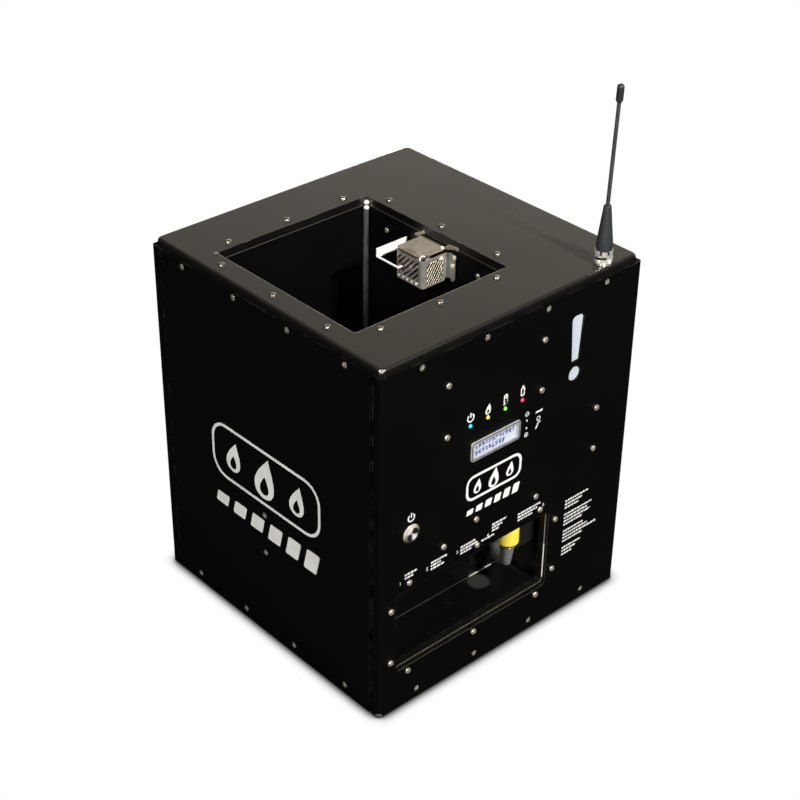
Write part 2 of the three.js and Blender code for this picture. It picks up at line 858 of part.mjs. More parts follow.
// The open shelf beside the cage: a narrow frame, an upright flange behind it and a tail along the cage.
function makeIgniterShelf() {
  const front = wellY + cageRear + seat;
  const rear = front + shelfLength;
  const left = cageWall - shelfReach;
  const low = shelfHeight - cageSheet;
  const thick = [low, shelfHeight];
  const rail = block([left, left + shelfRail], [front - shelfTail, rear], thick);
  const back = block([left, cageWall], [rear - shelfRail, rear], thick);
  const side = block([cageWall - 2 * shelfRail, cageWall], [front, rear], thick);
  const hook = block(
    [left, cageLeft - cageSheet - seat],
    [front - shelfTail - shelfHook, front - shelfTail],
    thick,
  );
  const outline = new THREE.Shape();
  outline.moveTo(left + shelfCut, shelfHeight - shelfDrop);
  outline.lineTo(cageWall - shelfFlangeEnd, shelfHeight - shelfDrop);
  outline.lineTo(cageWall - shelfFlangeEnd, shelfHeight + shelfFlange);
  outline.lineTo(left, shelfHeight + shelfFlange);
  outline.lineTo(left, low);
  outline.closePath();
  const flange = plateY(outline, [rear - cageSheet, rear]);
  const footFaces = [shelfHeight - shelfFoot, shelfHeight];
  const foot = block([cageWall - cageSheet, cageWall], [front, rear], footFaces);
  place('igniter_shelf', joined([rail, back, side, hook, flange, foot]), stainless());
}

// Two spark electrodes, each a hooked wire held by a ceramic insulator in the wall of the well.
function makeElectrodes() {
  for (const [name, side] of [['front', -1], ['rear', 1]]) {
    const y = electrodeY(side);
    const tip = cageWall - insulatorLength;
    const body = rod(
      insulatorRadius,
      insulatorLength + panSheet + seat,
      [tip, y, electrodeHeight],
      smallSides,
      'x',
    );
    const ring = rod(
      insulatorCollar,
      insulatorCollarLength,
      [cageWall - insulatorCollarLength, y, electrodeHeight],
      smallSides,
      'x',
    );
    place(`insulator_${name}`, body.add(ring), ceramic());
    const end = tip - seat - electrodeLength;
    const wire = rod(electrodeRadius, electrodeLength, [end, y, electrodeHeight], smallSides, 'x');
    const hookFaces = [y, y - side * electrodeHook].sort((a, b) => a - b);
    const hook = rod(
      electrodeRadius,
      hookFaces[1] - hookFaces[0],
      [end + electrodeRadius, hookFaces[0], electrodeHeight],
      smallSides,
      'y',
    );
    place(`electrode_${name}`, wire.add(hook), stainless());
  }
}

// The potted ignition coil on the back of the same wall.
function makeIgnitionCoil() {
  const left = wellWallX + panSheet + seat;
  const middle = (electrodeY(-1) + electrodeY(1)) / 2;
  const faces = [middle - coilLength / 2, middle + coilLength / 2];
  const low = electrodeHeight - coilHeight / 2 - coilRibPitch;
  const body = block([left, left + coilDepth], faces, [low, low + coilHeight]);
  const ribs = [];
  for (let y = faces[0] + coilRibPitch / 2; y < faces[1] - coilRib; y += coilRibPitch) {
    ribs.push(block(
      [left + coilDepth - coilRib, left + coilDepth + coilRib],
      [y, y + coilRib],
      [low, low + coilHeight],
    ));
  }
  place('ignition_coil', joined([body, ...ribs]), blackPlastic());
}

// Nozzle: a stepped jet with a bore, standing in the floor of the well.
function makeNozzle() {
  const base = floorUnder + wallSheet + seat;
  const step = nozzleHeight / 4;
  const jet = turned([
    [0, -wallSheet - 2 * seat],
    [nozzleStem, -wallSheet - 2 * seat],
    [nozzleStem, 0],
    [nozzleBase, 0],
    [nozzleBase, step],
    [nozzleStem, step * 1.5],
    [nozzleTip, nozzleHeight],
    [nozzleBore, nozzleHeight],
    [nozzleBore, nozzleHeight - nozzleBoreDepth],
    [0, nozzleHeight - nozzleBoreDepth],
  ], [wellX, wellY, base], fineSides);
  place('nozzle', jet, brass());
}

// The solenoid valve under the nozzle: a square body, its can and the inlet port.
function makeValve() {
  const top = floorUnder - seat;
  const half = valveWidth / 2;
  const low = top - valveHeight;
  const body = block([wellX - half, wellX + half], [wellY - half, wellY + half], [low, top]);
  const inletAt = [wellX - half - portLength, wellY, low + valveHeight / 2];
  const inlet = rod(portRadius, portLength, inletAt, smallSides, 'x');
  place('valve_body', body.add(inlet), brass());
  const can = turned([
    [0, 0],
    [coilCanRadius - coilRib, 0],
    [coilCanRadius, coilRib],
    [coilCanRadius, coilCanHeight],
    [0, coilCanHeight],
  ], [wellX, wellY, low - seat - coilCanHeight], roundSides);
  place('valve_coil', can, blackPlastic());
}

// The tank: a round-edged can with a filler neck and an outlet, and its screw cap.
function makeTank() {
  const half = tankLength / 2;
  const bevel = tankEdge / 3;
  const outline = roundedRectangle(tankX, tankY, tankWidth - 2 * bevel, tankLength - 2 * bevel, tankEdge);
  const can = new THREE.ExtrudeGeometry(outline, {
    depth: tankHeight - 2 * bevel,
    bevelEnabled: true,
    bevelSize: bevel,
    bevelThickness: bevel,
    bevelSegments: cornerSteps,
    curveSegments: cornerSteps,
  });
  can.translate(0, 0, trayTop + bevel);
  const top = trayTop + tankHeight;
  const neck = rod(tankNeck, tankNeckHeight + tankEdge, [tankX, tankNeckY, top - tankEdge], fineSides);
  const outletAt = [tankX, tankY - half - portLength, tankOutletZ()];
  const outlet = rod(portRadius, portLength + tankEdge, outletAt, smallSides, 'y');
  place('fuel_tank', joined([solid(can), neck, outlet]), { color: 0xd9d8cf, roughness: 0.6, metalness: 0 });
  const lift = top + tankNeckHeight + seat - capHeight + capWall;
  const cap = turned([
    [tankNeck + seat, 0],
    [capRadius, 0],
    [capRadius, capHeight - capWall],
    [capRadius - capWall, capHeight],
    [0, capHeight],
    [0, capHeight - capWall],
    [tankNeck + seat, capHeight - capWall],
    [tankNeck + seat, 0],
  ], [tankX, tankNeckY, lift], fineSides);
  const knobs = [];
  for (let i = 0; i < capKnobs; i += 1) {
    const turn = (i / capKnobs) * Math.PI * 2;
    const at = [tankX + capRadius * Math.cos(turn), tankNeckY + capRadius * Math.sin(turn), lift];
    knobs.push(rod(capKnob, capHeight - capWall, at, cornerSteps * 2));
  }
  place('tank_cap', joined([cap, ...knobs]), blackPlastic());
}

function tankOutletZ() {
  return trayTop + tankEdge + portRadius;
}

// The pump: a motor in its cradle with the pump head on its left end.
function makePump() {
  const motorLeft = pumpX - motorLength / 2;
  const motor = turned([
    [0, 0],
    [motorRadius - coilRib, 0],
    [motorRadius, coilRib],
    [motorRadius, motorLength - coilRib],
    [motorRadius - coilRib, motorLength],
    [0, motorLength],
  ], [motorLeft, pumpY, pumpAxis], fineSides, 'x');
  place('pump_motor', motor, { color: 0x3a3d40, roughness: 0.4, metalness: 0.8 });
  const right = motorLeft - seat;
  const half = headWidth / 2;
  const section = roundedRectangle(pumpY, pumpAxis, headWidth, headWidth, headCorner);
  const head = plateX(section, [right - headLength, right]);
  const middle = right - headLength / 2;
  const suctionAt = [middle, pumpY - half - portLength, pumpAxis];
  const suction = rod(portRadius, 2 * portLength, suctionAt, smallSides, 'y');
  const pressureAt = [middle, pumpY, pumpAxis + half - portLength];
  const pressure = rod(portRadius, 2 * portLength, pressureAt, smallSides);
  place('pump_head', joined([head, suction, pressure]), castAluminium());
  const long = [pumpX - cradleLength / 2, pumpX + cradleLength / 2];
  const bed = block(long, [pumpY - half, pumpY + half], [trayTop, pumpAxis]);
  const hollow = block(
    [long[0] + cradleSheet, long[1] - cradleSheet],
    [pumpY - headWidth, pumpY + headWidth],
    [trayTop + cradleSheet, height],
  );
  const saddle = rod(motorRadius + seat, motorLength, [motorLeft, pumpY, pumpAxis], fineSides, 'x');
  const feet = block(
    long,
    [pumpY - half - cradleFoot, pumpY + half + cradleFoot],
    [trayTop, trayTop + cradleSheet],
  );
  place('pump_cradle', without(bed, [hollow, saddle]).add(feet), blackPaint());
}

// The hose from the tank to the pump and the one from the pump to the valve.
function makeHoses() {
  const headMiddle = pumpX - motorLength / 2 - seat - headLength / 2;
  const headFront = pumpY - headWidth / 2 - portLength;
  const tankFront = tankY - tankLength / 2 - portLength;
  const low = tankOutletZ();
  place('suction_hose', hose([
    [tankX, tankFront - seat, low],
    [tankX, tankFront - tankNeck, low],
    [tankX - 4 * tankNeck, tankFront - 3 * tankNeck, low + hoseRadius],
    [headMiddle + 2 * tankNeck, headFront - 3 * tankNeck, pumpAxis - hoseRadius],
    [headMiddle, headFront - tankNeck, pumpAxis],
    [headMiddle, headFront - seat, pumpAxis],
  ], hoseRadius, hoseSides, hoseSteps), blackRubber());
  const headTop = pumpAxis + headWidth / 2 + portLength;
  const inletX = wellX - valveWidth / 2 - portLength;
  const inletZ = floorUnder - seat - valveHeight / 2;
  place('pressure_hose', hose([
    [headMiddle, pumpY, headTop + seat],
    [headMiddle, pumpY, headTop + tankNeck],
    [headMiddle - 2 * tankNeck, pumpY - tankNeck, (headTop + inletZ) / 2],
    [inletX - 2 * tankNeck, wellY + hoseRadius, inletZ - hoseRadius],
    [inletX - tankNeck, wellY, inletZ],
    [inletX - seat, wellY, inletZ],
  ], hoseRadius, hoseSides, hoseSteps), blackRubber());
}

// The battery and the strap that holds it down.
function makeBattery() {
  const half = batteryWidth / 2;
  const x = [batteryX - half, batteryX + half];
  const top = trayTop + batteryHeight;
  const body = block(x, [-batteryLength / 2, batteryLength / 2], [trayTop, top]);
  const terminals = [-1, 1].map((side) => block(
    [x[1] - 3 * batteryTerminal, x[1] - 2 * batteryTerminal],
    [side * batteryLength / 3 - batteryTerminal / 2, side * batteryLength / 3 + batteryTerminal / 2],
    [top - overrun, top + batteryTerminal],
  ));
  place('battery', joined([body, ...terminals]), { color: 0x2b2f36, roughness: 0.6, metalness: 0 });
  const across = [-strapWidth / 2, strapWidth / 2];
  const outside = block(
    [x[0] - seat - panSheet, x[1] + seat + panSheet],
    across,
    [trayTop, top + seat + panSheet],
  );
  const inside = block([x[0] - seat, x[1] + seat], [-strapWidth, strapWidth], [-overrun, top + seat]);
  const foot = block([x[1] + seat, x[1] + seat + strapFoot], across, [trayTop, trayTop + panSheet]);
  place('battery_strap', outside.subtract(inside).add(foot), stainless());
}

// The control board on four posts behind the display, with its relays.
function makeControlBoard() {
  const face = panelBack + boardStandOff;
  const sheet = block(
    [boardX - boardWidth / 2, boardX + boardWidth / 2],
    [face, face + boardSheet],
    [boardZ - boardHeight / 2, boardZ + boardHeight / 2],
  );
  const posts = [];
  for (const side of [-1, 1]) {
    for (const z of [postLowZ, postHighZ]) {
      const at = [boardX + (side * postSpanX) / 2, panelBack, z];
      posts.push(rod(postRadius, boardStandOff + boardSheet, at, smallSides, 'y'));
    }
  }
  const relays = [];
  for (let i = 0; i < relayCount; i += 1) {
    const x = boardX - boardWidth / 2 + relayPitch * (i + 1);
    const tall = [boardZ - relaySize, boardZ + relaySize / 2];
    relays.push(block([x, x + relaySize], [face, face + relaySize], tall));
  }
  place('control_board', joined([sheet, ...posts, ...relays]), board());
}

// The radio receiver behind the panel and the coaxial lead up to the antenna jack.
function makeRadio() {
  const box = block(
    [radioX - radioWidth / 2, radioX + radioWidth / 2],
    [panelBack, panelBack + radioDepth],
    [radioZ - radioHeight / 2, radioZ + radioHeight / 2],
  );
  place('radio_module', box, castAluminium());
  const from = radioZ + radioHeight / 2 + seat;
  const to = lidUnder - jackBodyLength - seat;
  const rise = to - from;
  place('antenna_lead', hose([
    [radioX, antennaY, from],
    [radioX, antennaY, from + rise / 6],
    [(radioX + antennaX) / 2, antennaY + jackBody, (from + to) / 2],
    [antennaX, antennaY, to - rise / 6],
    [antennaX, antennaY, to],
  ], leadRadius, leadSides, leadSteps), blackRubber());
}

// The frame that stiffens the bay opening: a flange behind the panel and a lip turned back round the hole.
function makeBayFrame() {
  const z = bayBottom + bayHeight / 2;
  const back = panelBack + panSheet;
  const border = 2 * bayFrameBorder;
  const flange = plateY(
    roundedRectangle(bayX, z, bayWidth + border, bayHeight + border, bayCorner),
    [panelBack, back],
  );
  const lip = plateY(
    roundedRectangle(bayX, z, bayWidth + 2 * panSheet, bayHeight + 2 * panSheet, bayCorner),
    [panelBack, back + bayLip],
  );
  const hole = plateY(
    roundedRectangle(bayX, z, bayWidth, bayHeight, bayCorner - panSheet),
    [panelBack - overrun, back + bayLip + overrun],
  );
  const flangeTrim = block([bayBoxLeft - width, bayBoxLeft], [-depth, depth], [-height, height]);
  place('bay_frame', flange.add(lip).subtract(hole).subtract(flangeTrim), blackPaint());
}

// The bay: an open-fronted box behind the panel. Its ceiling carries the sockets, which face down.
function makeBayBox() {
  const front = panelBack + panSheet + seat;
  const rear = -halfDepth + bayBoxDepth;
  const low = bayBottom - panSheet - seat;
  const outer = block(
    [bayBoxLeft, bayBoxRight],
    [front, rear + panSheet],
    [low - panSheet, bayCeiling + panSheet],
  );
  const inner = block(
    [bayBoxLeft + panSheet, bayBoxRight - panSheet],
    [front - overrun, rear],
    [low, bayCeiling],
  );
  const holes = socketsX.map((x) => rod(
    socketBarrel + seat,
    2 * overrun,
    [x, socketY, bayCeiling - overrun],
  ));
  place('bay_box', without(outer, [inner, ...holes]), blackPaint());
}

// One round chassis socket in the ceiling of the bay, its mouth facing down.
function makeSocket(index) {
  const x = socketsX[index];
  const top = socketFace + socketPlate;
  const outline = roundedRectangle(x, socketY, socketWidth, socketLength, socketCorner);
  const plate = plateZ(outline, [socketFace, top]);
  const barrel = rod(socketBarrel, socketBarrelHeight + panSheet, [x, socketY, top - seat]);
  const mouth = rod(socketMouth, socketMouthDepth + overrun, [x, socketY, socketFace - overrun]);
  place(`socket_${index + 1}`, plate.add(barrel).subtract(mouth), blackPlastic());
}

// The safety plug in the last socket: nose, yellow sleeve and a tapered black boot.
function makePlug() {
  const x = socketsX[plugSocket];
  const top = socketFace - seat;
  const low = top - plugSleeve;
  const sleeve = turned([
    [0, 0],
    [plugRadius - plugRib, 0],
    [plugRadius, plugRib],
    [plugRadius, plugSleeve - plugRib],
    [plugRadius - plugRib, plugSleeve],
    [plugNose, plugSleeve],
    [plugNose, plugSleeve + plugNoseLength],
    [0, plugSleeve + plugNoseLength],
  ], [x, socketY, low], roundSides);
  place('plug_sleeve', sleeve, { color: 0xffc21c, roughness: 0.5, metalness: 0 });
  const boot = turned([
    [0, 0],
    [bootTip - bootRound, 0],
    [bootTip, bootRound],
    [bootTop, bootLength - bootRingLength],
    [bootRing, bootLength - bootRingLength],
    [bootRing, bootLength],
    [0, bootLength],
  ], [x, socketY, low - seat - bootLength], roundSides);
  place('plug_boot', boot, blackRubber());
}

// The display: a rounded metal frame on the panel, the glass in the window and the module behind it.
function makeDisplay() {
  const frame = plateY(
    roundedRectangle(displayX, displayZ, displayWidth, displayHeight, displayCorner),
    [-halfDepth - seat - displayProud, -halfDepth - seat],
  );
  const rim = 2 * displayRim;
  const hole = plateY(
    roundedRectangle(displayX, displayZ, displayWidth - rim, displayHeight - rim, displayCorner / 2),
    [-halfDepth - overrun, -halfDepth + overrun],
  );
  place('display_frame', frame.subtract(hole), nickel());
  const glassWidth = displayWidth - displayRim - 2 * seat;
  const glassHeight = displayHeight - displayRim - 2 * seat;
  const glass = plateY(
    roundedRectangle(displayX, displayZ, glassWidth, glassHeight, displayCorner / 2),
    [-halfDepth, -insideY],
  );
  place('display_glass', glass, lens(0xb9cbd8));
  const module = block(
    [displayX - displayWidth / 2, displayX + displayWidth / 2],
    [panelBack, panelBack + boardStandOff - seat],
    [displayZ - displayBody, displayZ + displayBody],
  );
  place('display_module', module, { color: 0x30353a, roughness: 0.5, metalness: 0.3 });
}

// Four small domed lamps in a row above the display, each held by a collar behind the panel.
function makeLamps() {
  const colours = [0x2fc7e8, 0xf0c419, 0x9be12c, 0xe8447c];
  lampNames.forEach((name, i) => {
    const dome = turned([
      [0, 0],
      [lampRadius * 0.7, lampRadius * 0.3],
      [lampRadius, lampRadius],
      [lampRadius, lampProud + wallSheet + seat],
      [lampCollar, lampProud + wallSheet + seat],
      [lampCollar, lampProud + wallSheet + seat + lampCollarLength],
      [0, lampProud + wallSheet + seat + lampCollarLength],
    ], [lampX + i * lampPitch, -halfDepth - lampProud, lampZ], smallSides, 'y');
    place(`lamp_${name}`, dome, lens(colours[i]));
  });
}

// The power button: a metal bezel with its threaded barrel, the nut behind the panel and the dished cap.
function makeButton() {
  const bezelBack = -halfDepth - seat;
  const bore = buttonCap + seat;
  const stop = buttonCapLength + buttonTravel + seat;
  const bezel = turned([
    [bore, 0],
    [buttonFace, 0],
    [buttonRadius, buttonProud - seat],
    [buttonRadius, buttonProud],
    [buttonBarrel, buttonProud],
    [buttonBarrel, buttonBarrelLength],
    [0, buttonBarrelLength],
    [0, stop],
    [bore, stop],
    [bore, 0],
  ], [buttonX, bezelBack - buttonProud, buttonZ], fineSides, 'y');
  place('button_body', bezel, nickel());
  const nut = rod(buttonNut, buttonNutLength, [buttonX, panelBack, buttonZ], nutSides, 'y');
  const boreAt = [buttonX, panelBack - buttonNutLength, buttonZ];
  const nutBore = rod(buttonBarrel + seat, 3 * buttonNutLength, boreAt, fineSides, 'y');
  place('button_nut', nut.subtract(nutBore), nickel());
  const cap = turned([
    [0, buttonDish],
    [buttonCap / 2, buttonDish * 0.75],
    [buttonCap - buttonRim, 0],
    [buttonCap, buttonRim],
    [buttonCap, buttonCapLength],
    [0, buttonCapLength],
  ], [buttonX, bezelBack - buttonProud, buttonZ], fineSides, 'y');
  place('button_cap', cap, nickel());
}

// The lit window: a tapering bar over a round dot, on the light box that carries their lamps.
function makeStatusLight() {
  const faces = [-halfDepth + statusRecess, -insideY];
  const bright = { color: 0xe8ecf6, roughness: 0.3, metalness: 0, emissive: 0x8890a8 };
  place('status_bar_lens', plateY(statusBar(0), faces, cornerSteps * 2), bright);
  const dot = rod(statusDot, faces[1] - faces[0], [statusX, faces[0], statusDotZ], roundSides, 'y');
  place('status_dot_lens', dot, { ...bright });
  const half = statusBarWide / 2 + statusBoxMargin;
  const box = block(
    [statusX - half, statusX + half],
    [panelBack, panelBack + statusBoxDepth],
    [statusDotZ - statusDot - statusBoxMargin, statusBarTop + statusBoxMargin],
  );
  place('status_light_box', box, { color: 0xd8dadc, roughness: 0.6, metalness: 0 });
}

// The antenna: jack and nut in the lid, the bayonet ring, a tapered rubber boot and the slightly bent whip.
function makeAntenna() {
  const at = [antennaX, antennaY, height + seat];
  const stem = height + seat - (lidUnder - jackBodyLength);
  const ringLift = jackFlangeHeight + seat;
  const bootLift = ringLift + ringHeight - bootSink;
  const jack = turned([
    [0, -stem],
    [jackBody, -stem],
    [jackBody, 0],
    [jackFlange, 0],
    [jackFlange, jackFlangeHeight],
    [jackNeck, jackFlangeHeight],
    [jackNeck, bootLift - seat],
    [0, bootLift - seat],
  ], at, roundSides);
  place('antenna_jack', jack, nickel());
  const nutAt = [antennaX, antennaY, lidUnder - seat - jackNutHeight];
  place('jack_nut', collar(jackBody + seat, jackNutRadius, jackNutHeight, nutAt, roundSides), nickel());
  const crownBore = ringRadius - fingerWall;
  const ringLow = height + seat + ringLift;
  const ring = turned([
    [ringBore, 0],
    [ringRadius, 0],
    [ringRadius, ringHeight],
    [crownBore, ringHeight],
    [crownBore, ringHeight - fingerDepth],
    [ringBore, ringHeight - fingerDepth],
    [ringBore, 0],
  ], [antennaX, antennaY, ringLow], fineSides);
  const step = 360 / ringFingers;
  const slots = [];
  const lobes = [];
  for (let i = 0; i < ringFingers; i += 1) {
    const slot = block(
      [ringBore, ringRadius + overrun],
      [-fingerSlot / 2, fingerSlot / 2],
      [ringLow + ringHeight - fingerDepth, ringLow + ringHeight + overrun],
    );
    slots.push(slot.rotate([0, 0, fingerTurn + (i + 0.5) * step]).translate([antennaX, antennaY, 0]));
    const lobe = rod(lobeRadius, lobeHeight, [lobeReach, 0, ringLow], smallSides);
    lobes.push(lobe.rotate([0, 0, lobeTurn + i * step]).translate([antennaX, antennaY, 0]));
  }
  const bore = rod(ringBore, 2 * ringHeight, [antennaX, antennaY, ringLow - ringHeight], fineSides);
  place('bayonet_ring', without(ring, slots).add(joined(lobes).subtract(bore)), nickel());
  const shoulder = bootSink + seat;
  const boot = turned([
    [0, 0],
    [crownBore - seat, 0],
    [crownBore - seat, shoulder],
    [bootBase, shoulder],
    [bootBase, shoulder + bootHeight / 8],
    [bootNeck, bootHeight],
    [0, bootHeight],
  ], [antennaX, antennaY, height + seat + bootLift], roundSides);
  place('antenna_boot', boot, blackRubber());
  const leaning = new THREE.Group();
  leaning.position.set(antennaX, antennaY, height + bootLift + bootHeight + 2 * seat);
  const towards = THREE.MathUtils.degToRad(whipLeanTo + 90);
  const hinge = new THREE.Vector3(Math.cos(towards), Math.sin(towards), 0);
  leaning.quaternion.setFromAxisAngle(hinge, THREE.MathUtils.degToRad(whipLean));
  group.add(leaning);
  place('antenna_whip', rod(whipRadius, whipLength, [0, 0, seat], smallSides), blackPlastic(), leaning);
  const tip = turned([
    [0, 0],
    [tipRadius * 0.8, 0],
    [tipRadius, tipRadius / 2],
    [tipRadius, tipLength - tipRadius],
    [tipRadius * 0.7, tipLength - tipRadius * 0.3],
    [0, tipLength],
  ], [0, 0, whipLength + 2 * seat], smallSides);
  place('antenna_tip', tip, blackRubber(), leaning);
}

makeBaseTray();
makeSideWall('left_wall', -1);
makeSideWall('right_wall', 1);
makeFrontPanel();
place('rear_panel', foldedPanel(1), blackPaint());
makeLid();
makeLiner();
makeWellFloor();
makeIgniterGuard();
makeGuardCover();
makeIgniterShelf();
makeElectrodes();
makeIgnitionCoil();
makeNozzle();
makeValve();
makeTank();
makePump();
makeHoses();
makeBattery();
makeControlBoard();
makeRadio();
makeBayFrame();
makeBayBox();
socketsX.forEach((x, index) => makeSocket(index));
makePlug();
makeDisplay();
makeLamps();
makeButton();
makeStatusLight();
makeAntenna();

export default group;
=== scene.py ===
"""Stage flame machine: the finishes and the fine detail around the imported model."""

import itertools
import logging
import math
import random
from collections.abc import Callable, Iterable, Sequence
from dataclasses import dataclass, field
from enum import Enum

import bmesh
import bpy
from mathutils import Matrix, Vector


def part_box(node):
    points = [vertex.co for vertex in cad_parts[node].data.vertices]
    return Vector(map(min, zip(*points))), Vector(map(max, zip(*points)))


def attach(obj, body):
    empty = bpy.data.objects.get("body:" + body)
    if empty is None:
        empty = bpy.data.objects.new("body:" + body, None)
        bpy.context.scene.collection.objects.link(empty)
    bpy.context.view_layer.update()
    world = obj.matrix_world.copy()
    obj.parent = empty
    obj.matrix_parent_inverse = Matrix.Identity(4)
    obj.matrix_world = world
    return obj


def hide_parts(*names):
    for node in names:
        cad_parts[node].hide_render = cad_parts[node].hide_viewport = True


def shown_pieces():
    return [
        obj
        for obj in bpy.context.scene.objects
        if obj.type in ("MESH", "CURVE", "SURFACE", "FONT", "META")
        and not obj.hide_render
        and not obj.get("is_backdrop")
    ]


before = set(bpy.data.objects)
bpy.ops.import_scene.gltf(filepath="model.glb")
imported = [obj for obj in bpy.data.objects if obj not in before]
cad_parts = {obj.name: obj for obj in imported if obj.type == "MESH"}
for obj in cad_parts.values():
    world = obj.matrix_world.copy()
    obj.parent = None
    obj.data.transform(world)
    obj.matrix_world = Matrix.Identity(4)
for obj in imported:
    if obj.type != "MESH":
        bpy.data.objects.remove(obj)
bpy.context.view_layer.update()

LOG = logging.getLogger("flame_machine")
MM = 0.001
CASE = "case"
SMOOTH_ANGLE = math.radians(38)
FLAT_ANGLE = math.radians(0.6)
WELD = 1e-6
PRINT_ROOM = 0.05 * MM

Rgb = tuple[float, float, float]
Point2 = tuple[float, float]
Socket = bpy.types.NodeSocket
Node = bpy.types.Node
Tree = bpy.types.NodeTree
Thing = bpy.types.Object
Shape = bmesh.types.BMesh
Value = float | Sequence[float] | Socket

ORIGIN = (0.0, 0.0, 0.0)

# The lowest, left and front corner of the case's sheets, and the highest, right and rear one
CASE_LOW, CASE_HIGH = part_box("left_wall")[0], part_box("right_wall")[1]
CASE_LOW.y, CASE_HIGH.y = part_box("front_panel")[0].y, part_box("rear_panel")[1].y


def srgb(red: float, green: float, blue: float) -> Rgb:
    """Turns display values of 0 to 255 into the linear colour that a shader takes."""
    def linear(value: float) -> float:
        """Undoes the display curve for one channel."""
        share = value / 255
        return share / 12.92 if share <= 0.04045 else ((share + 0.055) / 1.055) ** 2.4

    return linear(red), linear(green), linear(blue)


class Face(Enum):
    """A side of the case, as the directions right, up and outwards seen from outside."""

    FRONT = ((1, 0, 0), (0, 0, 1), (0, -1, 0))
    REAR = ((-1, 0, 0), (0, 0, 1), (0, 1, 0))
    LEFT = ((0, -1, 0), (0, 0, 1), (-1, 0, 0))
    RIGHT = ((0, 1, 0), (0, 0, 1), (1, 0, 0))
    TOP = ((1, 0, 0), (0, 1, 0), (0, 0, 1))

    @property
    def outwards(self) -> Vector:
        """The direction that the side faces."""
        return Vector(self.value[2])

    @property
    def across(self) -> Vector:
        """The direction to the right on the side."""
        return Vector(self.value[0])

    def turn(self) -> Matrix:
        """Returns the rotation that lays a flat XY drawing on the side."""
        return Matrix([Vector(axis) for axis in self.value]).transposed().to_4x4()


class Axis(Enum):
    """The direction that a turned piece runs in."""

    X = "X"
    Y = "Y"
    Z = "Z"

    def turn(self) -> Matrix:
        """Returns the rotation that brings +Z to this axis."""
        if self is Axis.X:
            return Matrix.Rotation(math.pi / 2, 4, "Y")
        if self is Axis.Y:
            return Matrix.Rotation(-math.pi / 2, 4, "X")
        return Matrix.Identity(4)


class Graph:
    """A shader tree while it is being wired."""

    def __init__(self, tree: Tree) -> None:
        """Starts on an empty or a new tree."""
        self.tree = tree

    def feed(self, socket: Socket, value: Value) -> None:
        """Gives a socket a value, or a link where the value is another node's output.

        Args:
            socket: The input to feed.
            value: A number, a vector, a colour or an output socket.
        """
        if isinstance(value, Socket):
            self.tree.links.new(value, socket)
        elif socket.type == "RGBA" and len(value) == 3:
            socket.default_value = (*value, 1)
        else:
            socket.default_value = value

    def node(self, kind: str, settings: dict[str, object] | None = None, **inputs: Value) -> Node:
        """Adds a node.

        Args:
            kind: The node's type without its common first word.
            settings: The node's own properties.
            **inputs: Values for its inputs, with _ for each space of their names.

        Returns:
            The new node.
        """
        made = self.tree.nodes.new("ShaderNode" + kind)
        for name, value in (settings or {}).items():
            setattr(made, name, value)
        for name, value in inputs.items():
            self.feed(made.inputs[name.replace("_", " ")], value)
        return made

    def pair(self, kind: str, operation: str, first: Value, second: Value) -> Node:
        """Adds a node that works on two values.

        Args:
            kind: Math or VectorMath.
            operation: What it does.
            first: Its first value.
            second: Its second value.

        Returns:
            The new node.
        """
        made = self.node(kind, {"operation": operation})
        self.feed(made.inputs[0], first)
        self.feed(made.inputs[1], second)
        return made

    def sums(self, operation: str, first: Value, second: Value = 0.0) -> Socket:
        """Adds one step of arithmetic, and returns its result."""
        return self.pair("Math", operation, first, second).outputs[0]

    def vectors(self, operation: str, first: Value, second: Value = ORIGIN) -> Node:
        """Adds one step of arithmetic on vectors, as a node with the outputs Vector and Value."""
        return self.pair("VectorMath", operation, first, second)

    def mixed(self, share: Value, first: Value, second: Value) -> Socket:
        """Mixes two colours.

        Args:
            share: How much of the second colour.
            first: The colour at 0.
            second: The colour at 1.

        Returns:
            The colour between them.
        """
        made = self.node("Mix", {"data_type": "RGBA"})
        self.feed(made.inputs[0], share)
        colours = [socket for socket in made.inputs if socket.type == "RGBA"]
        self.feed(colours[0], first)
        self.feed(colours[1], second)
        return next(socket for socket in made.outputs if socket.type == "RGBA")

    def ranged(self, value: Value, start: Value, end: Value, low: Value = 0.0,
               high: Value = 1.0) -> Socket:
        """Maps a value from the range of start to end on that of low to high, smoothly and clamped."""
        made = self.node("MapRange", {"interpolation_type": "SMOOTHSTEP"}, Value=value, From_Min=start,
                         From_Max=end, To_Min=low, To_Max=high)
        return made.outputs[0]

    def upwards(self) -> Socket:
        """Returns how far the surface faces up, 1 for level."""
        return self.node("SeparateXYZ", Vector=self.node("NewGeometry").outputs["Normal"]).outputs["Z"]

    def effect(self, effect: "Effect", place: Value, **inputs: Value) -> Socket:
        """Places a shared effect with its own values.

        Args:
            effect: The effect.
            place: The coordinates that it reads.
            **inputs: Values for its other inputs.

        Returns:
            What it puts out.
        """
        made = self.tree.nodes.new("ShaderNodeGroup")
        made.node_tree = effect.tree()
        for name, value in {"Vector": place, **inputs}.items():
            self.feed(made.inputs[name], value)
        return made.outputs[0]

    def end_for_camera(self, output: str, seen: Socket, lit: Socket) -> None:
        """Ends the tree with one shader for the camera and another for all other rays.

        Args:
            output: The type of the end node.
            seen: What the camera sees.
            lit: What the object's light and reflections meet.
        """
        mix = self.node("MixShader")
        self.feed(mix.inputs[0], self.node("LightPath").outputs["Is Camera Ray"])
        self.feed(mix.inputs[1], lit)
        self.feed(mix.inputs[2], seen)
        self.node(output, Surface=mix.outputs[0])


def emptied(owner: bpy.types.ID) -> Graph:
    """Clears a new material's or world's shader tree, and returns the graph on it."""
    owner.use_nodes = True
    owner.node_tree.nodes.clear()
    return Graph(owner.node_tree)


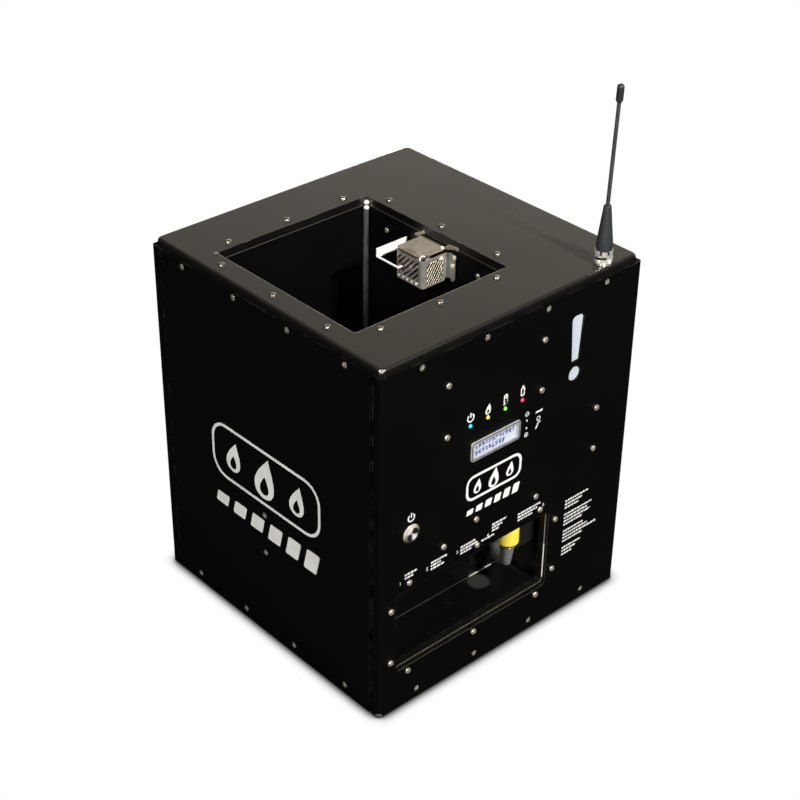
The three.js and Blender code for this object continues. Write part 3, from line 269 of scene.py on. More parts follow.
class Effect(Enum):
    """The shader groups that several finishes share."""

    GRAIN = "Fine grain"
    SMUDGE = "Smudges"
    STREAK = "Drawn streaks"
    EDGE = "Worn edges"
    SPOT = "Bare spot"
    DUST = "Settled dust"

    def tree(self) -> Tree:
        """Returns the group, built once."""
        found = bpy.data.node_groups.get(self.value)
        return found if found else EFFECT_BUILDERS[self](self.value)


def open_group(name: str, inputs: dict[str, float | Rgb],
               output: str) -> tuple[Graph, dict[str, Socket], Socket]:
    """Starts a shader group.

    Args:
        name: The group's name.
        inputs: Each input's name and first value; three numbers make a vector.
        output: The name of the number that it puts out.

    Returns:
        The graph, the inner sockets by name, and the socket that takes the result.
    """
    tree = bpy.data.node_groups.new(name, "ShaderNodeTree")
    for label, value in inputs.items():
        kind = "NodeSocketVector" if isinstance(value, tuple) else "NodeSocketFloat"
        tree.interface.new_socket(name=label, in_out="INPUT", socket_type=kind).default_value = value
    tree.interface.new_socket(name=output, in_out="OUTPUT", socket_type="NodeSocketFloat")
    start = tree.nodes.new("NodeGroupInput")
    end = tree.nodes.new("NodeGroupOutput")
    return Graph(tree), {label: start.outputs[label] for label in inputs}, end.inputs[output]


def build_grain(name: str) -> Tree:
    """Builds the fine pebbled relief of powder coat and moulded plastic."""
    graph, given, result = open_group(name, {"Vector": ORIGIN, "Scale": 900.0, "Roughness": 0.5}, "Height")
    noise = graph.node("TexNoise", Vector=given["Vector"], Scale=given["Scale"], Detail=3.0,
                       Roughness=given["Roughness"])
    graph.feed(result, noise.outputs[0])
    return graph.tree


def build_smudge(name: str) -> Tree:
    """Builds the slow change of gloss that hands and cloths leave."""
    graph, given, result = open_group(
        name, {"Vector": ORIGIN, "Scale": 14.0, "Low": 0.4, "High": 0.6}, "Value")
    noise = graph.node("TexNoise", Vector=given["Vector"], Scale=given["Scale"], Detail=4.0, Roughness=0.6,
                       Distortion=0.4)
    graph.feed(result, graph.ranged(noise.outputs[0], 0.32, 0.68, given["Low"], given["High"]))
    return graph.tree


def build_streak(name: str) -> Tree:
    """Builds long fine lines, as rolled or brushed metal has them."""
    graph, given, result = open_group(
        name, {"Vector": ORIGIN, "Stretch": (1.0, 1.0, 1.0), "Scale": 400.0}, "Height")
    squeezed = graph.vectors("MULTIPLY", given["Vector"], given["Stretch"])
    noise = graph.node("TexNoise", Vector=squeezed.outputs[0], Scale=given["Scale"], Detail=4.0,
                       Roughness=0.65)
    graph.feed(result, noise.outputs[0])
    return graph.tree


def build_edge(name: str) -> Tree:
    """Builds a mask of the outer edges, broken up as wear is."""
    graph, given, result = open_group(
        name, {"Vector": ORIGIN, "Radius": 0.0008, "Amount": 0.5, "Scale": 60.0}, "Mask")
    softened = graph.node("Bevel", {"samples": 4}, Radius=given["Radius"])
    dot = graph.vectors("DOT_PRODUCT", softened.outputs[0], graph.node("NewGeometry").outputs["Normal"])
    edge = graph.ranged(dot.outputs["Value"], 0.995, 0.9)
    noise = graph.node("TexNoise", Vector=given["Vector"], Scale=given["Scale"], Detail=5.0, Roughness=0.7)
    broken = graph.ranged(noise.outputs[0], 0.45, 0.62)
    graph.feed(result, graph.sums("MULTIPLY", graph.sums("MULTIPLY", edge, broken), given["Amount"]))
    return graph.tree


def build_spot(name: str) -> Tree:
    """Builds a ragged round mask about one place, used for chipped paint, heat marks, a lamp's bright middle
    and patches of painted light.
    """
    graph, given, result = open_group(
        name, {"Vector": ORIGIN, "Place": ORIGIN, "Reach": 0.004, "Ragged": 0.5, "Scale": 300.0}, "Mask")
    gap = graph.vectors("DISTANCE", given["Vector"], given["Place"])
    noise = graph.node("TexNoise", Vector=given["Vector"], Scale=given["Scale"], Detail=4.0)
    lift = graph.sums("MULTIPLY", graph.sums("SUBTRACT", noise.outputs[0], 0.5), given["Ragged"])
    share = graph.sums("ADD", graph.sums("DIVIDE", gap.outputs["Value"], given["Reach"]), lift)
    graph.feed(result, graph.ranged(share, 1.0, 0.6))
    return graph.tree


def build_dust(name: str) -> Tree:
    """Builds a mask of the dust that lies on what faces up."""
    graph, given, result = open_group(name, {"Vector": ORIGIN, "Amount": 0.3, "Scale": 25.0}, "Mask")
    noise = graph.node("TexNoise", Vector=given["Vector"], Scale=given["Scale"], Detail=6.0, Roughness=0.7)
    lying = graph.sums("MULTIPLY", graph.ranged(graph.upwards(), 0.4, 1.0), noise.outputs[0])
    graph.feed(result, graph.sums("MULTIPLY", lying, given["Amount"]))
    return graph.tree


EFFECT_BUILDERS: dict[Effect, Callable[[str], Tree]] = {
    Effect.GRAIN: build_grain,
    Effect.SMUDGE: build_smudge,
    Effect.STREAK: build_streak,
    Effect.EDGE: build_edge,
    Effect.SPOT: build_spot,
    Effect.DUST: build_dust,
}


@dataclass(frozen=True)
class Finish:
    """What every finish has: a name, the record's slot, a colour and a roughness."""

    name: str
    slot: str
    colour: Rgb
    roughness: float

    def material(self) -> bpy.types.Material:
        """Returns the finish's material, made once."""
        found = bpy.data.materials.get(self.name)
        if found:
            return found
        made = bpy.data.materials.new(self.name)
        graph = emptied(made)
        shader = graph.node("BsdfPrincipled", Base_Color=self.colour, Roughness=self.roughness)
        graph.node("OutputMaterial", Surface=shader.outputs[0])
        place = graph.node("TexCoord").outputs["Object"]
        self.dress(graph, shader, place)
        return made

    def dress(self, graph: Graph, shader: Node, place: Socket) -> None:
        """Adds the finish's own detail.

        Args:
            graph: The material's tree.
            shader: Its Principled shader.
            place: Object coordinates.
        """
        raise NotImplementedError

    def relief(self, graph: Graph, shader: Node, height: Value, depth: float, strength: float) -> None:
        """Shapes the surface with a pattern of 0 to 1, by its depth in metres and how much of it shows."""
        bump = graph.node("Bump", Strength=strength, Distance=depth, Height=height)
        graph.feed(shader.inputs["Normal"], bump.outputs[0])


DUST_GREY = srgb(120, 112, 100)
BARE_STEEL = srgb(205, 203, 198)
TRACK_GREEN = srgb(60, 130, 80)


@dataclass(frozen=True)
class PowderCoat(Finish):
    """Textured powder coat on sheet steel, worn to the metal at a few places; where given, it also carries
    painted light: a lighter top colour as painted sheen, and pale patches at set places.
    """

    glint: float = 0.3
    grain: float = 1100.0
    depth: float = 0.00006
    gloss_change: float = 0.04
    worn: float = 0.35
    dusty: float = 0.05
    # Painted sheen: the colour of upward faces, lighter than the sides and bends of the same paint.
    top: Rgb | None = None
    bare_places: tuple[Rgb, ...] = ()
    bare_reach: float = 0.0035
    # Patches of painted light: each one's place, how far it reaches, and its colour.
    painted_light_places: tuple[tuple[Rgb, float, Rgb], ...] = ()

    def dress(self, graph: Graph, shader: Node, place: Socket) -> None:
        """Adds grain, gloss changes, worn edges, chips, a trace of dust, and the painted sheen of the top
        colour and the patches of painted light.
        """
        grain = graph.effect(Effect.GRAIN, place, Scale=self.grain, Roughness=0.55)
        tone = graph.effect(Effect.SMUDGE, place, Scale=9.0, Low=0.82, High=1.18)
        pale = tuple(min(1.0, channel * 1.5) for channel in self.colour)
        paint = graph.mixed(graph.sums("SUBTRACT", tone, 0.6), self.colour, pale)
        # Painted sheen: upward faces take the lighter top colour.
        if self.top:
            paint = graph.mixed(graph.ranged(graph.upwards(), 0.6, 0.95), paint, self.top)
        # Painted light: pale patches mixed in about their places.
        for spot, reach, painted_light_colour in self.painted_light_places:
            haze = graph.effect(Effect.SPOT, place, Place=spot, Reach=reach, Ragged=0.25, Scale=90.0)
            paint = graph.mixed(haze, paint, painted_light_colour)
        dust = graph.effect(Effect.DUST, place, Amount=self.dusty, Scale=30.0)
        paint = graph.mixed(dust, paint, DUST_GREY)
        bare = graph.effect(Effect.EDGE, place, Radius=0.7 * MM, Amount=self.worn)
        for spot in self.bare_places:
            chip = graph.effect(Effect.SPOT, place, Place=spot, Reach=self.bare_reach)
            bare = graph.sums("MAXIMUM", bare, chip)
        graph.feed(shader.inputs["Base Color"], graph.mixed(bare, paint, BARE_STEEL))
        graph.feed(shader.inputs["Metallic"], bare)
        gloss = graph.effect(Effect.SMUDGE, place, Scale=16.0, Low=self.roughness - self.gloss_change,
                             High=self.roughness + self.gloss_change)
        graph.feed(shader.inputs["Roughness"], gloss)
        shader.inputs["Specular IOR Level"].default_value = self.glint
        self.relief(graph, shader, grain, self.depth, 0.7)


@dataclass(frozen=True)
class BareMetal(Finish):
    """Uncoated metal with drawn lines, and heat colours where it is given a place for them."""

    stretch: Rgb = (1.0, 1.0, 1.0)
    streak: float = 500.0
    depth: float = 0.00002
    grime: float = 0.25
    metal: float = 1.0
    heat_places: tuple[Rgb, ...] = ()
    heat_reach: float = 0.02
    heat_colour: Rgb = srgb(122, 96, 66)

    def dress(self, graph: Graph, shader: Node, place: Socket) -> None:
        """Adds drawn lines, dull patches and heat colours."""
        lines = graph.effect(Effect.STREAK, place, Stretch=self.stretch, Scale=self.streak)
        patch = graph.effect(Effect.SMUDGE, place, Scale=120.0, Low=0.0, High=self.grime)
        dull = tuple(channel * 0.45 for channel in self.colour)
        metal = graph.mixed(patch, self.colour, dull)
        for spot in self.heat_places:
            heat = graph.effect(Effect.SPOT, place, Place=spot, Reach=self.heat_reach, Ragged=0.9, Scale=140.0)
            metal = graph.mixed(graph.sums("MULTIPLY", heat, 0.6), metal, self.heat_colour)
        graph.feed(shader.inputs["Base Color"], metal)
        shader.inputs["Metallic"].default_value = self.metal
        rough = graph.ranged(lines, 0.3, 0.7, self.roughness * 0.75, self.roughness * 1.3)
        graph.feed(shader.inputs["Roughness"], rough)
        self.relief(graph, shader, lines, self.depth, 0.5)


@dataclass(frozen=True)
class TurnedMetal(Finish):
    """A turned face: fine rings, and painted fans of reflected light and shade about its middle."""

    middle: Rgb = ORIGIN
    # Painted reflection: the turn of the brightest fan, how many fans go round, and the colour of the shaded
    # fans.
    painted_highlight_turn: float = 0.0
    fans: float = 2.0
    dark: Rgb = srgb(40, 38, 44)
    metal: float = 0.45
    rings: float = 16000.0

    def dress(self, graph: Graph, shader: Node, place: Socket) -> None:
        """Adds the painted fans of light and shade, and the rings."""
        from_middle = graph.vectors("SUBTRACT", place, self.middle).outputs[0]
        part = graph.node("SeparateXYZ", Vector=from_middle)
        angle = graph.sums("ARCTAN2", part.outputs["Z"], part.outputs["X"])
        # Painted reflection: the base colour runs from the shaded colour to the bright one round the middle.
        turn = graph.sums("SUBTRACT", angle, self.painted_highlight_turn)
        painted_fan = graph.sums("COSINE", graph.sums("MULTIPLY", turn, self.fans))
        haze = graph.effect(Effect.SMUDGE, place, Scale=300.0, Low=-0.25, High=0.25)
        share = graph.ranged(graph.sums("ADD", painted_fan, haze), -0.35, 0.95)
        graph.feed(shader.inputs["Base Color"], graph.mixed(share, self.dark, self.colour))
        shader.inputs["Metallic"].default_value = self.metal
        across = graph.vectors("MULTIPLY", from_middle, (1.0, 0.0, 1.0))
        away = graph.vectors("LENGTH", across.outputs[0])
        rings = graph.sums("SINE", graph.sums("MULTIPLY", away.outputs["Value"], self.rings))
        self.relief(graph, shader, rings, 0.00001, 0.3)


@dataclass(frozen=True)
class Moulded(Finish):
    """Moulded plastic or rubber: a fine sparked grain, scuffs and paler worn edges."""

    grain: float = 1500.0
    depth: float = 0.00003
    scuffed: float = 0.3
    glint: float = 0.5
    pale: float = 1.7
    gloss_change: float = 0.08

    def dress(self, graph: Graph, shader: Node, place: Socket) -> None:
        """Adds grain, tone changes and scuffs."""
        grain = graph.effect(Effect.GRAIN, place, Scale=self.grain, Roughness=0.6)
        tone = graph.effect(Effect.SMUDGE, place, Scale=45.0, Low=0.0, High=0.5)
        lighter = tuple(min(1.0, channel * self.pale + 0.004) for channel in self.colour)
        body = graph.mixed(tone, self.colour, lighter)
        worn = graph.effect(Effect.EDGE, place, Radius=0.6 * MM, Amount=self.scuffed, Scale=150.0)
        graph.feed(shader.inputs["Base Color"], graph.mixed(worn, body, lighter))
        gloss = graph.effect(Effect.SMUDGE, place, Scale=60.0, Low=self.roughness - self.gloss_change,
                             High=self.roughness + self.gloss_change)
        graph.feed(shader.inputs["Roughness"], gloss)
        shader.inputs["Specular IOR Level"].default_value = self.glint
        self.relief(graph, shader, grain, self.depth, 0.6)


@dataclass(frozen=True)
class LitLens(Finish):
    """A tinted lens with a lamp behind it, brightest about its middle."""

    glow: float = 1.0
    middle: Rgb = ORIGIN
    reach: float = 0.05
    rim: Rgb = ORIGIN

    def dress(self, graph: Graph, shader: Node, place: Socket) -> None:
        """Adds the light and its fall towards the rim."""
        heart = graph.effect(Effect.SPOT, place, Place=self.middle, Reach=self.reach, Ragged=0.15, Scale=60.0)
        haze = graph.effect(Effect.SMUDGE, place, Scale=90.0, Low=0.88, High=1.0)
        light = graph.mixed(graph.sums("MULTIPLY", heart, haze), self.rim, self.colour)
        graph.feed(shader.inputs["Emission Color"], light)
        graph.feed(shader.inputs["Base Color"], graph.mixed(haze, self.rim, self.colour))
        shader.inputs["Emission Strength"].default_value = self.glow
        shader.inputs["Coat Weight"].default_value = 0.6
        shader.inputs["Coat Roughness"].default_value = 0.12


@dataclass(frozen=True)
class Ink(Finish):
    """Screen-printed ink, a little thin and speckled where the coat's grain shows through."""

    coverage: float = 0.9

    def dress(self, graph: Graph, shader: Node, place: Socket) -> None:
        """Adds the speckle of thin ink."""
        speck = graph.effect(Effect.GRAIN, place, Scale=1400.0, Roughness=0.7)
        thin = graph.ranged(speck, 0.30, 0.45, 1.0 - self.coverage, 0.0)
        wear = graph.effect(Effect.SMUDGE, place, Scale=40.0, Low=0.0, High=0.22)
        dark = tuple(channel * 0.35 for channel in self.colour)
        bare = graph.sums("MAXIMUM", thin, wear)
        graph.feed(shader.inputs["Base Color"], graph.mixed(bare, self.colour, dark))
        shader.inputs["Specular IOR Level"].default_value = 0.2
        self.relief(graph, shader, speck, 0.00004, 0.5)


@dataclass(frozen=True)
class CircuitBoard(Finish):
    """Green solder mask with its tracks standing a little lighter under it."""

    def dress(self, graph: Graph, shader: Node, place: Socket) -> None:
        """Adds tracks as a fine angular pattern."""
        cells = graph.node("TexVoronoi", {"distance": "CHEBYCHEV"}, Vector=place, Scale=180.0)
        track = graph.ranged(cells.outputs["Distance"], 0.42, 0.5)
        graph.feed(shader.inputs["Base Color"], graph.mixed(track, self.colour, TRACK_GREEN))
        self.relief(graph, shader, track, 0.00005, 0.6)


CORNER_CHIPS = ((-0.1476, -0.1476, 0.3496), (-0.1470, -0.1470, 0.3500), (-0.1256, 0.0892, 0.3480))
FOOT_CHIPS = ((-0.1488, -0.1488, 0.0015),)
CAGE_HEAT = ((0.016, 0.000, 0.340), (0.0145, 0.010, 0.326))
COVER_HEAT = ((0.016, -0.016, 0.340), (0.020, -0.019, 0.338), *CAGE_HEAT)
TIP_HEAT = ((-0.0404, -0.001, 0.221),)

# Each patch of painted light in the bay: where, how far it reaches, its colour; the first is a painted
# reflection on the back wall, the second its mirror on the floor, the third a painted lit zone right of the
# plug
BAY_PAINTED_LIGHT = (
    ((0.0162, -0.098, 0.0639), 0.013, srgb(18, 18, 18)),
    ((0.0087, -0.1084, 0.0437), 0.0125, srgb(48, 48, 48)),
    ((0.080, -0.098, 0.076), 0.052, srgb(92, 92, 90)),
)

WALL_PAINT = PowderCoat("black_powder_coat", "black_paint", srgb(4, 4, 4), 0.36, glint=0.16, worn=0.1,
                        dusty=0.0, bare_places=FOOT_CHIPS)
# One paint in a lit and a shaded copy: the lighter top colour is painted sheen, the dark colour is the sides
# and bends.
LID_PAINT = PowderCoat("lid_powder_coat", "lid_paint", srgb(9, 8, 8), 0.3, glint=0.7, gloss_change=0.012,
                       worn=0.4, dusty=0.02, top=srgb(34, 31, 27), bare_places=CORNER_CHIPS)
WELL_PAINT = PowderCoat("well_powder_coat", "black_paint", srgb(4, 4, 5), 0.4, glint=0.2, worn=0.2)
# The recess's gloss black also carries the bay's patches of painted light.
BAY_GLOSS = PowderCoat("bay_gloss_coat", "black_paint", srgb(7, 7, 7), 0.22, glint=0.3, depth=0.00002,
                       worn=0.0, dusty=0.0, painted_light_places=BAY_PAINTED_LIGHT)
BAY_BORDER = PowderCoat("bay_border_coat", "black_paint", srgb(12, 12, 10), 0.3, glint=0.25, depth=0.00002,
                        worn=0.1, dusty=0.0)
TRAY_PAINT = PowderCoat("tray_powder_coat", "black_paint", srgb(12, 12, 12), 0.45)
MOTOR_ENAMEL = PowderCoat("motor_enamel", "motor_steel", srgb(58, 62, 66), 0.4, grain=500.0)
CAGE_STEEL = BareMetal("cage_steel", "stainless", srgb(192, 188, 178), 0.34, (1.0, 1.0, 9.0), grime=0.45,
                       metal=0.65, heat_places=CAGE_HEAT, heat_reach=0.005)
COVER_STEEL = BareMetal("heated_cover_steel", "stainless", srgb(168, 158, 140), 0.5, (1.0, 8.0, 1.0),
                        grime=0.45, metal=0.4, heat_places=COVER_HEAT, heat_reach=0.008)
# Near-white and mostly diffuse: the upright flange's brightness is a painted reflection of a light.
SHELF_GLARE_STEEL = BareMetal("polished_shelf_steel", "stainless", srgb(252, 250, 248), 0.3, (6.0, 1.0, 1.0),
                        grime=0.05, metal=0.2)
LIP_STEEL = BareMetal("pressed_lip_steel", "stainless", srgb(192, 184, 162), 0.3, grime=0.3, metal=0.66)
# Near-white, mostly diffuse steel: a painted glint on the cage's screws, the well's welds, the coupling knobs
# and the curl's rim, and painted highlights on the tabs.
GLINT_STEEL = BareMetal("burnished_steel", "stainless", srgb(255, 250, 240), 0.25, grime=0.2, metal=0.3)
WIRE_STEEL = BareMetal("electrode_wire", "stainless", srgb(170, 150, 130), 0.35, grime=0.5)
STRAP_STEEL = BareMetal("strap_steel", "stainless", srgb(190, 188, 184), 0.3, (1.0, 7.0, 1.0))
SCREW_STEEL = BareMetal("screw_steel", "stainless", srgb(224, 216, 202), 0.2, grime=0.4, metal=0.75)
LID_SCREW_STEEL = BareMetal("lid_screw_steel", "stainless", srgb(214, 206, 192), 0.2, grime=0.5, metal=0.93)
NICKEL = BareMetal("bright_nickel", "nickel", srgb(236, 230, 218), 0.2, grime=0.45, metal=0.66)
RING_NICKEL = BareMetal("coupling_ring_nickel", "nickel", srgb(255, 250, 240), 0.16, streak=900.0, grime=0.6,
                        metal=0.62)
FRAME_METAL = BareMetal("display_frame_metal", "nickel", srgb(206, 208, 210), 0.34, (8.0, 1.0, 1.0), metal=0.5)
BRASS = BareMetal("turned_brass", "brass", srgb(190, 158, 92), 0.3, grime=0.4, heat_places=TIP_HEAT,
                  heat_reach=0.012, heat_colour=srgb(70, 62, 80))
CAST = BareMetal("cast_aluminium", "aluminium", srgb(176, 178, 180), 0.45, streak=1100.0, depth=0.00006)
CERAMIC = Moulded("glazed_ceramic", "ceramic", srgb(232, 226, 212), 0.18, grain=500.0, pale=1.05, scuffed=0.05)
# Painted shade: the first is laid over the cage's fine slots and the curl's hollow, the second fills the slot
# of the antenna's coupling ring.
CAGE_PAINTED_SHADE = Moulded("soot", "stainless", srgb(16, 14, 12), 0.6, glint=0.1)
SLOT_SHADE = Moulded("slot_shade", "nickel", srgb(14, 14, 15), 0.5, glint=0.2)
DARK_PLASTIC = Moulded("black_plastic", "black_plastic", srgb(26, 26, 27), 0.42)
WHIP_SLEEVE = Moulded("whip_sleeve", "black_plastic", srgb(48, 49, 50), 0.4, glint=0.6)
RUBBER = Moulded("moulded_rubber", "rubber", srgb(38, 40, 42), 0.5, glint=0.5, pale=1.5)
BOOT_RUBBER = Moulded("plug_boot_rubber", "rubber", srgb(102, 103, 102), 0.24, glint=1.0)
YELLOW = Moulded("yellow_plastic", "plug_yellow", srgb(255, 231, 84), 0.36, pale=1.04, scuffed=0.15)
TANK_PLASTIC = Moulded("tank_polyethylene", "tank_plastic", srgb(218, 216, 206), 0.5, pale=1.06)
BATTERY_CASE = Moulded("battery_case", "battery_plastic", srgb(52, 56, 62), 0.5)
GREEN_BOARD = CircuitBoard("green_circuit_board", "circuit_board", srgb(28, 84, 48), 0.4)
WALL_INK = Ink("pale_print", "black_paint", srgb(232, 232, 230), 0.6)
FINE_INK = Ink("fine_print", "black_paint", srgb(226, 226, 224), 0.6, coverage=0.85)
GROOVE_INK = Ink("display_groove_ink", "nickel", srgb(16, 16, 17), 0.5)
SEGMENT_INK = Ink("display_segments", "display", srgb(104, 104, 170), 0.4, coverage=0.9)
SEAM = Moulded("seam_sealant", "black_plastic", srgb(25, 25, 24), 0.4)
# Painted highlights: lighter lines along the bay's border and the panel's cut-out, brightest low on the right,
# and along the well's opening and the foot of its far lip.
BORDER_LOW_HIGHLIGHT = Moulded("rubbed_edge", "black_paint", srgb(60, 58, 46), 0.4)
PANEL_EDGE_HIGHLIGHT = Moulded("panel_cut_edge", "black_paint", srgb(34, 33, 28), 0.4)
BORDER_UPPER_HIGHLIGHT = Moulded("faded_edge", "black_paint", srgb(96, 95, 90), 0.4)
BORDER_RIGHT_HIGHLIGHT = Moulded("bare_edge", "black_paint", srgb(176, 175, 170), 0.35)
LIP_EDGE_HIGHLIGHT = Moulded("lip_cut_edge", "lid_paint", srgb(62, 59, 54), 0.35)
LID_EDGE_HIGHLIGHT = Moulded("lid_cut_edge", "lid_paint", srgb(112, 106, 96), 0.35)
# Painted light: the paler stretch of the seam, where the lit patch in the bay crosses it.
SEAM_PAINTED_LIGHT = Moulded("fresh_seam_sealant", "black_plastic", srgb(178, 176, 164), 0.4)
CORNER_BEAD = Moulded("corner_bead", "black_paint", srgb(66, 66, 68), 0.35, glint=0.6)


def hidden(made: Thing) -> Thing:
    """Takes a helper out of sight, and returns it."""
    made.hide_render = True
    made.hide_viewport = True
    return made


def linked(name: str, data: bpy.types.ID) -> Thing:
    """Makes an object of some data and puts it in the scene.

    Args:
        name: The object's name.
        data: A mesh, curve, text, light or camera.

    Returns:
        The object.
    """
    made = bpy.data.objects.new(name, data)
    bpy.context.scene.collection.objects.link(made)
    return made


def as_object(name: str, mesh: bpy.types.Mesh) -> Thing:
    """Links a mesh to the scene, both under one name."""
    mesh.name = name
    return linked(name, mesh)


def from_bmesh(name: str, shape: Shape) -> Thing:
    """Turns a closed shape into an object with its faces outwards.

    Args:
        name: The object's name.
        shape: The shape; it is used up.

    Returns:
        The object.
    """
    bmesh.ops.remove_doubles(shape, verts=shape.verts, dist=WELD)
    bmesh.ops.recalc_face_normals(shape, faces=shape.faces)
    mesh = bpy.data.meshes.new(name)
    shape.to_mesh(mesh)
    shape.free()
    return as_object(name, mesh)


def applied(made: Thing) -> Thing:
    """Turns an object's modifiers, curve or text into a plain mesh.

    Args:
        made: The object; it is replaced.

    Returns:
        A new object of the same name without modifiers.
    """
    name = made.name
    bpy.context.view_layer.update()
    graph = bpy.context.evaluated_depsgraph_get()
    mesh = bpy.data.meshes.new_from_object(made.evaluated_get(graph), depsgraph=graph)
    bpy.data.objects.remove(made)
    return as_object(name, mesh)


def with_modifier(made: Thing, kind: str, **settings: object) -> Thing:
    """Adds a modifier.

    Args:
        made: The object.
        kind: The modifier's type.
        **settings: Its properties.

    Returns:
        The same object.
    """
    modifier = made.modifiers.new(kind.title(), kind)
    for name, value in settings.items():
        setattr(modifier, name, value)
    return made


def broken_edges(made: Thing, width: float, segments: int = 2) -> Thing:
    """Rounds the sharp edges of an object, which is replaced, and returns the plain result."""
    with_modifier(made, "BEVEL", width=width, segments=segments, limit_method="ANGLE",
                  angle_limit=SMOOTH_ANGLE, harden_normals=False, use_clamp_overlap=True)
    return applied(made)


def cut(made: Thing, cutter: Thing, use_self: bool = False) -> Thing:
    """Takes a closed shape out of an object.

    Args:
        made: The object; it is replaced.
        cutter: The shape; it is used up.
        use_self: Whether the shape crosses itself.

    Returns:
        The plain result.
    """
    with_modifier(made, "BOOLEAN", operation="DIFFERENCE", solver="EXACT", use_self=use_self,
                  object=hidden(cutter))
    made = applied(made)
    bpy.data.objects.remove(cutter)
    return made


def middle_of(node: str) -> Vector:
    """Returns the middle of a node's box."""
    low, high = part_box(node)
    return (low + high) / 2


def finished(made: Thing, finish: Finish, body: str = CASE,
             stands_for: Iterable[str] = ()) -> Thing:
    """Dresses a piece and fastens it to its body.

    Args:
        made: A plain mesh in its place.
        finish: What it is made of.
        body: The body that it moves with.
        stands_for: The nodes that it replaces.

    Returns:
        The piece.
    """
    mesh = made.data
    mesh.materials.clear()
    mesh.materials.append(finish.material())
    mesh.shade_smooth()
    mesh.set_sharp_from_angle(angle=SMOOTH_ANGLE)
    with_modifier(made, "WEIGHTED_NORMAL", mode="FACE_AREA", weight=50, keep_sharp=True)
    made = applied(made)
    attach(made, body)
    if stands_for:
        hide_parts(*stands_for)
    return made


def lathe(profile: Sequence[Point2], at: Vector, axis: Axis = Axis.Z, sides: int = 48) -> Shape:
    """Turns a profile about an axis.

    Args:
        profile: Radius and distance along the axis, starting and ending on the axis or closing on itself.
        at: Where the axis starts.
        axis: The direction of the axis.
        sides: How many flats go round.

    Returns:
        The closed shape.
    """
    shape = bmesh.new()
    rings = []
    for radius, along in profile:
        if radius < WELD:
            rings.append([shape.verts.new((0, 0, along))] * sides)
            continue
        turns = [2 * math.pi * step / sides for step in range(sides)]
        rings.append([shape.verts.new((radius * math.cos(t), radius * math.sin(t), along)) for t in turns])
    for lower, upper in zip(rings, rings[1:]):
        for step in range(sides):
            after = (step + 1) % sides
            corners = [lower[step], lower[after], upper[after], upper[step]]
            corners = [corner for i, corner in enumerate(corners) if corner not in corners[:i]]
            if len(corners) > 2:
                shape.faces.new(corners)
    bmesh.ops.transform(shape, verts=shape.verts, matrix=Matrix.Translation(at) @ axis.turn())
    return shape


def turned(name: str, profile: Sequence[Point2], at: Vector = Vector(), axis: Axis = Axis.Z,
           sides: int = 48) -> Thing:
    """Makes an undressed object by turning a profile, as lathe does."""
    return from_bmesh(name, lathe(profile, at, axis, sides))


def bead(name: str, points: Sequence[Rgb], radius: float, turn: float = 0.0) -> Thing:
    """Makes a round bead along a line.

    Args:
        name: The piece's name.
        points: The line, in millimetres.
        radius: The bead's radius.
        turn: How far the line's corners are cut back, in millimetres.

    Returns:
        The bead, undressed.
    """
    line = bpy.data.curves.new(name, "CURVE")
    line.dimensions = "3D"
    line.bevel_depth = radius
    line.bevel_resolution = 3
    line.use_fill_caps = True
    path = rounded(points, turn) if turn else points
    spline = line.splines.new("POLY")
    spline.points.add(len(path) - 1)
    for point, place in zip(spline.points, path):
        point.co = (*(Vector(place) * MM), 1)
    tube = applied(linked(name, line))
    shape = bmesh.new()
    shape.from_mesh(tube.data)
    bpy.data.objects.remove(tube)
    return from_bmesh(name, shape)


def rounded(profile: Sequence[Sequence[float]], radius: float, steps: int = 3) -> list[tuple[float, ...]]:
    """Rounds the inner corners of an open profile.

    Args:
        profile: The sharp profile, flat or in space.
        radius: How far each corner is cut back at most.
        steps: How many short lines take a corner's place.

    Returns:
        The rounded profile.
    """
    longest_share = 0.45
    made = [profile[0]]
    for before, corner, after in zip(profile, profile[1:], profile[2:]):
        here = Vector(corner)
        ends = []
        for other in (before, after):
            way = Vector(other) - here
            ends.append(here + way.normalized() * min(radius, way.length * longest_share))
        for step in range(steps + 1):
            share = step / steps
            point = ends[0] * (1 - share) ** 2 + here * 2 * share * (1 - share) + ends[1] * share ** 2
            made.append(tuple(point))
    made.append(profile[-1])
    return made


def rounded_disc(name: str, radius: float, middle: float, rim: float, turn: float, sides: int,
                 steps: int = 3) -> Thing:
    """Makes a small disc about its own middle, hidden, by half its height in the middle and at the rim."""
    profile = rounded([(0.0, -middle), (radius, -rim), (radius, rim), (0.0, middle)], turn, steps)
    return hidden(turned(name, profile, sides=sides))


def fair_copy(node: str, name: str, inset: Face | None = None) -> Thing:
    """Copies a node's mesh, merges it and joins its flat faces.

    Args:
        node: The node.
        name: The copy's name.
        inset: A side on which the copy leaves room for a print.

    Returns:
        The copy, undressed.
    """
    shape = bmesh.new()
    shape.from_mesh(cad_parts[node].data)
    bmesh.ops.remove_doubles(shape, verts=shape.verts, dist=WELD)
    bmesh.ops.dissolve_limit(shape, angle_limit=FLAT_ANGLE, verts=shape.verts, edges=shape.edges)
    if inset:
        reach = max(vertex.co.dot(inset.outwards) for vertex in shape.verts)
        for vertex in shape.verts:
            if vertex.co.dot(inset.outwards) > reach - WELD:
                vertex.co -= inset.outwards * PRINT_ROOM
    mesh = bpy.data.meshes.new(name)
    shape.to_mesh(mesh)
    shape.free()
    return as_object(name, mesh)


def dress_copy(node: str, name: str, finish: Finish, edge: float = 0.25 * MM,
               body: str = CASE) -> Thing:
    """Replaces a node by its copy with edges broken to a width and a finish, and returns the piece."""
    return finished(broken_edges(fair_copy(node, name), edge), finish, body, [node])


def paint_node(finish: Finish, node: str) -> None:
    """Gives a CAD node that keeps its shape a finish."""
    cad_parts[node].material_slots[0].material = finish.material()


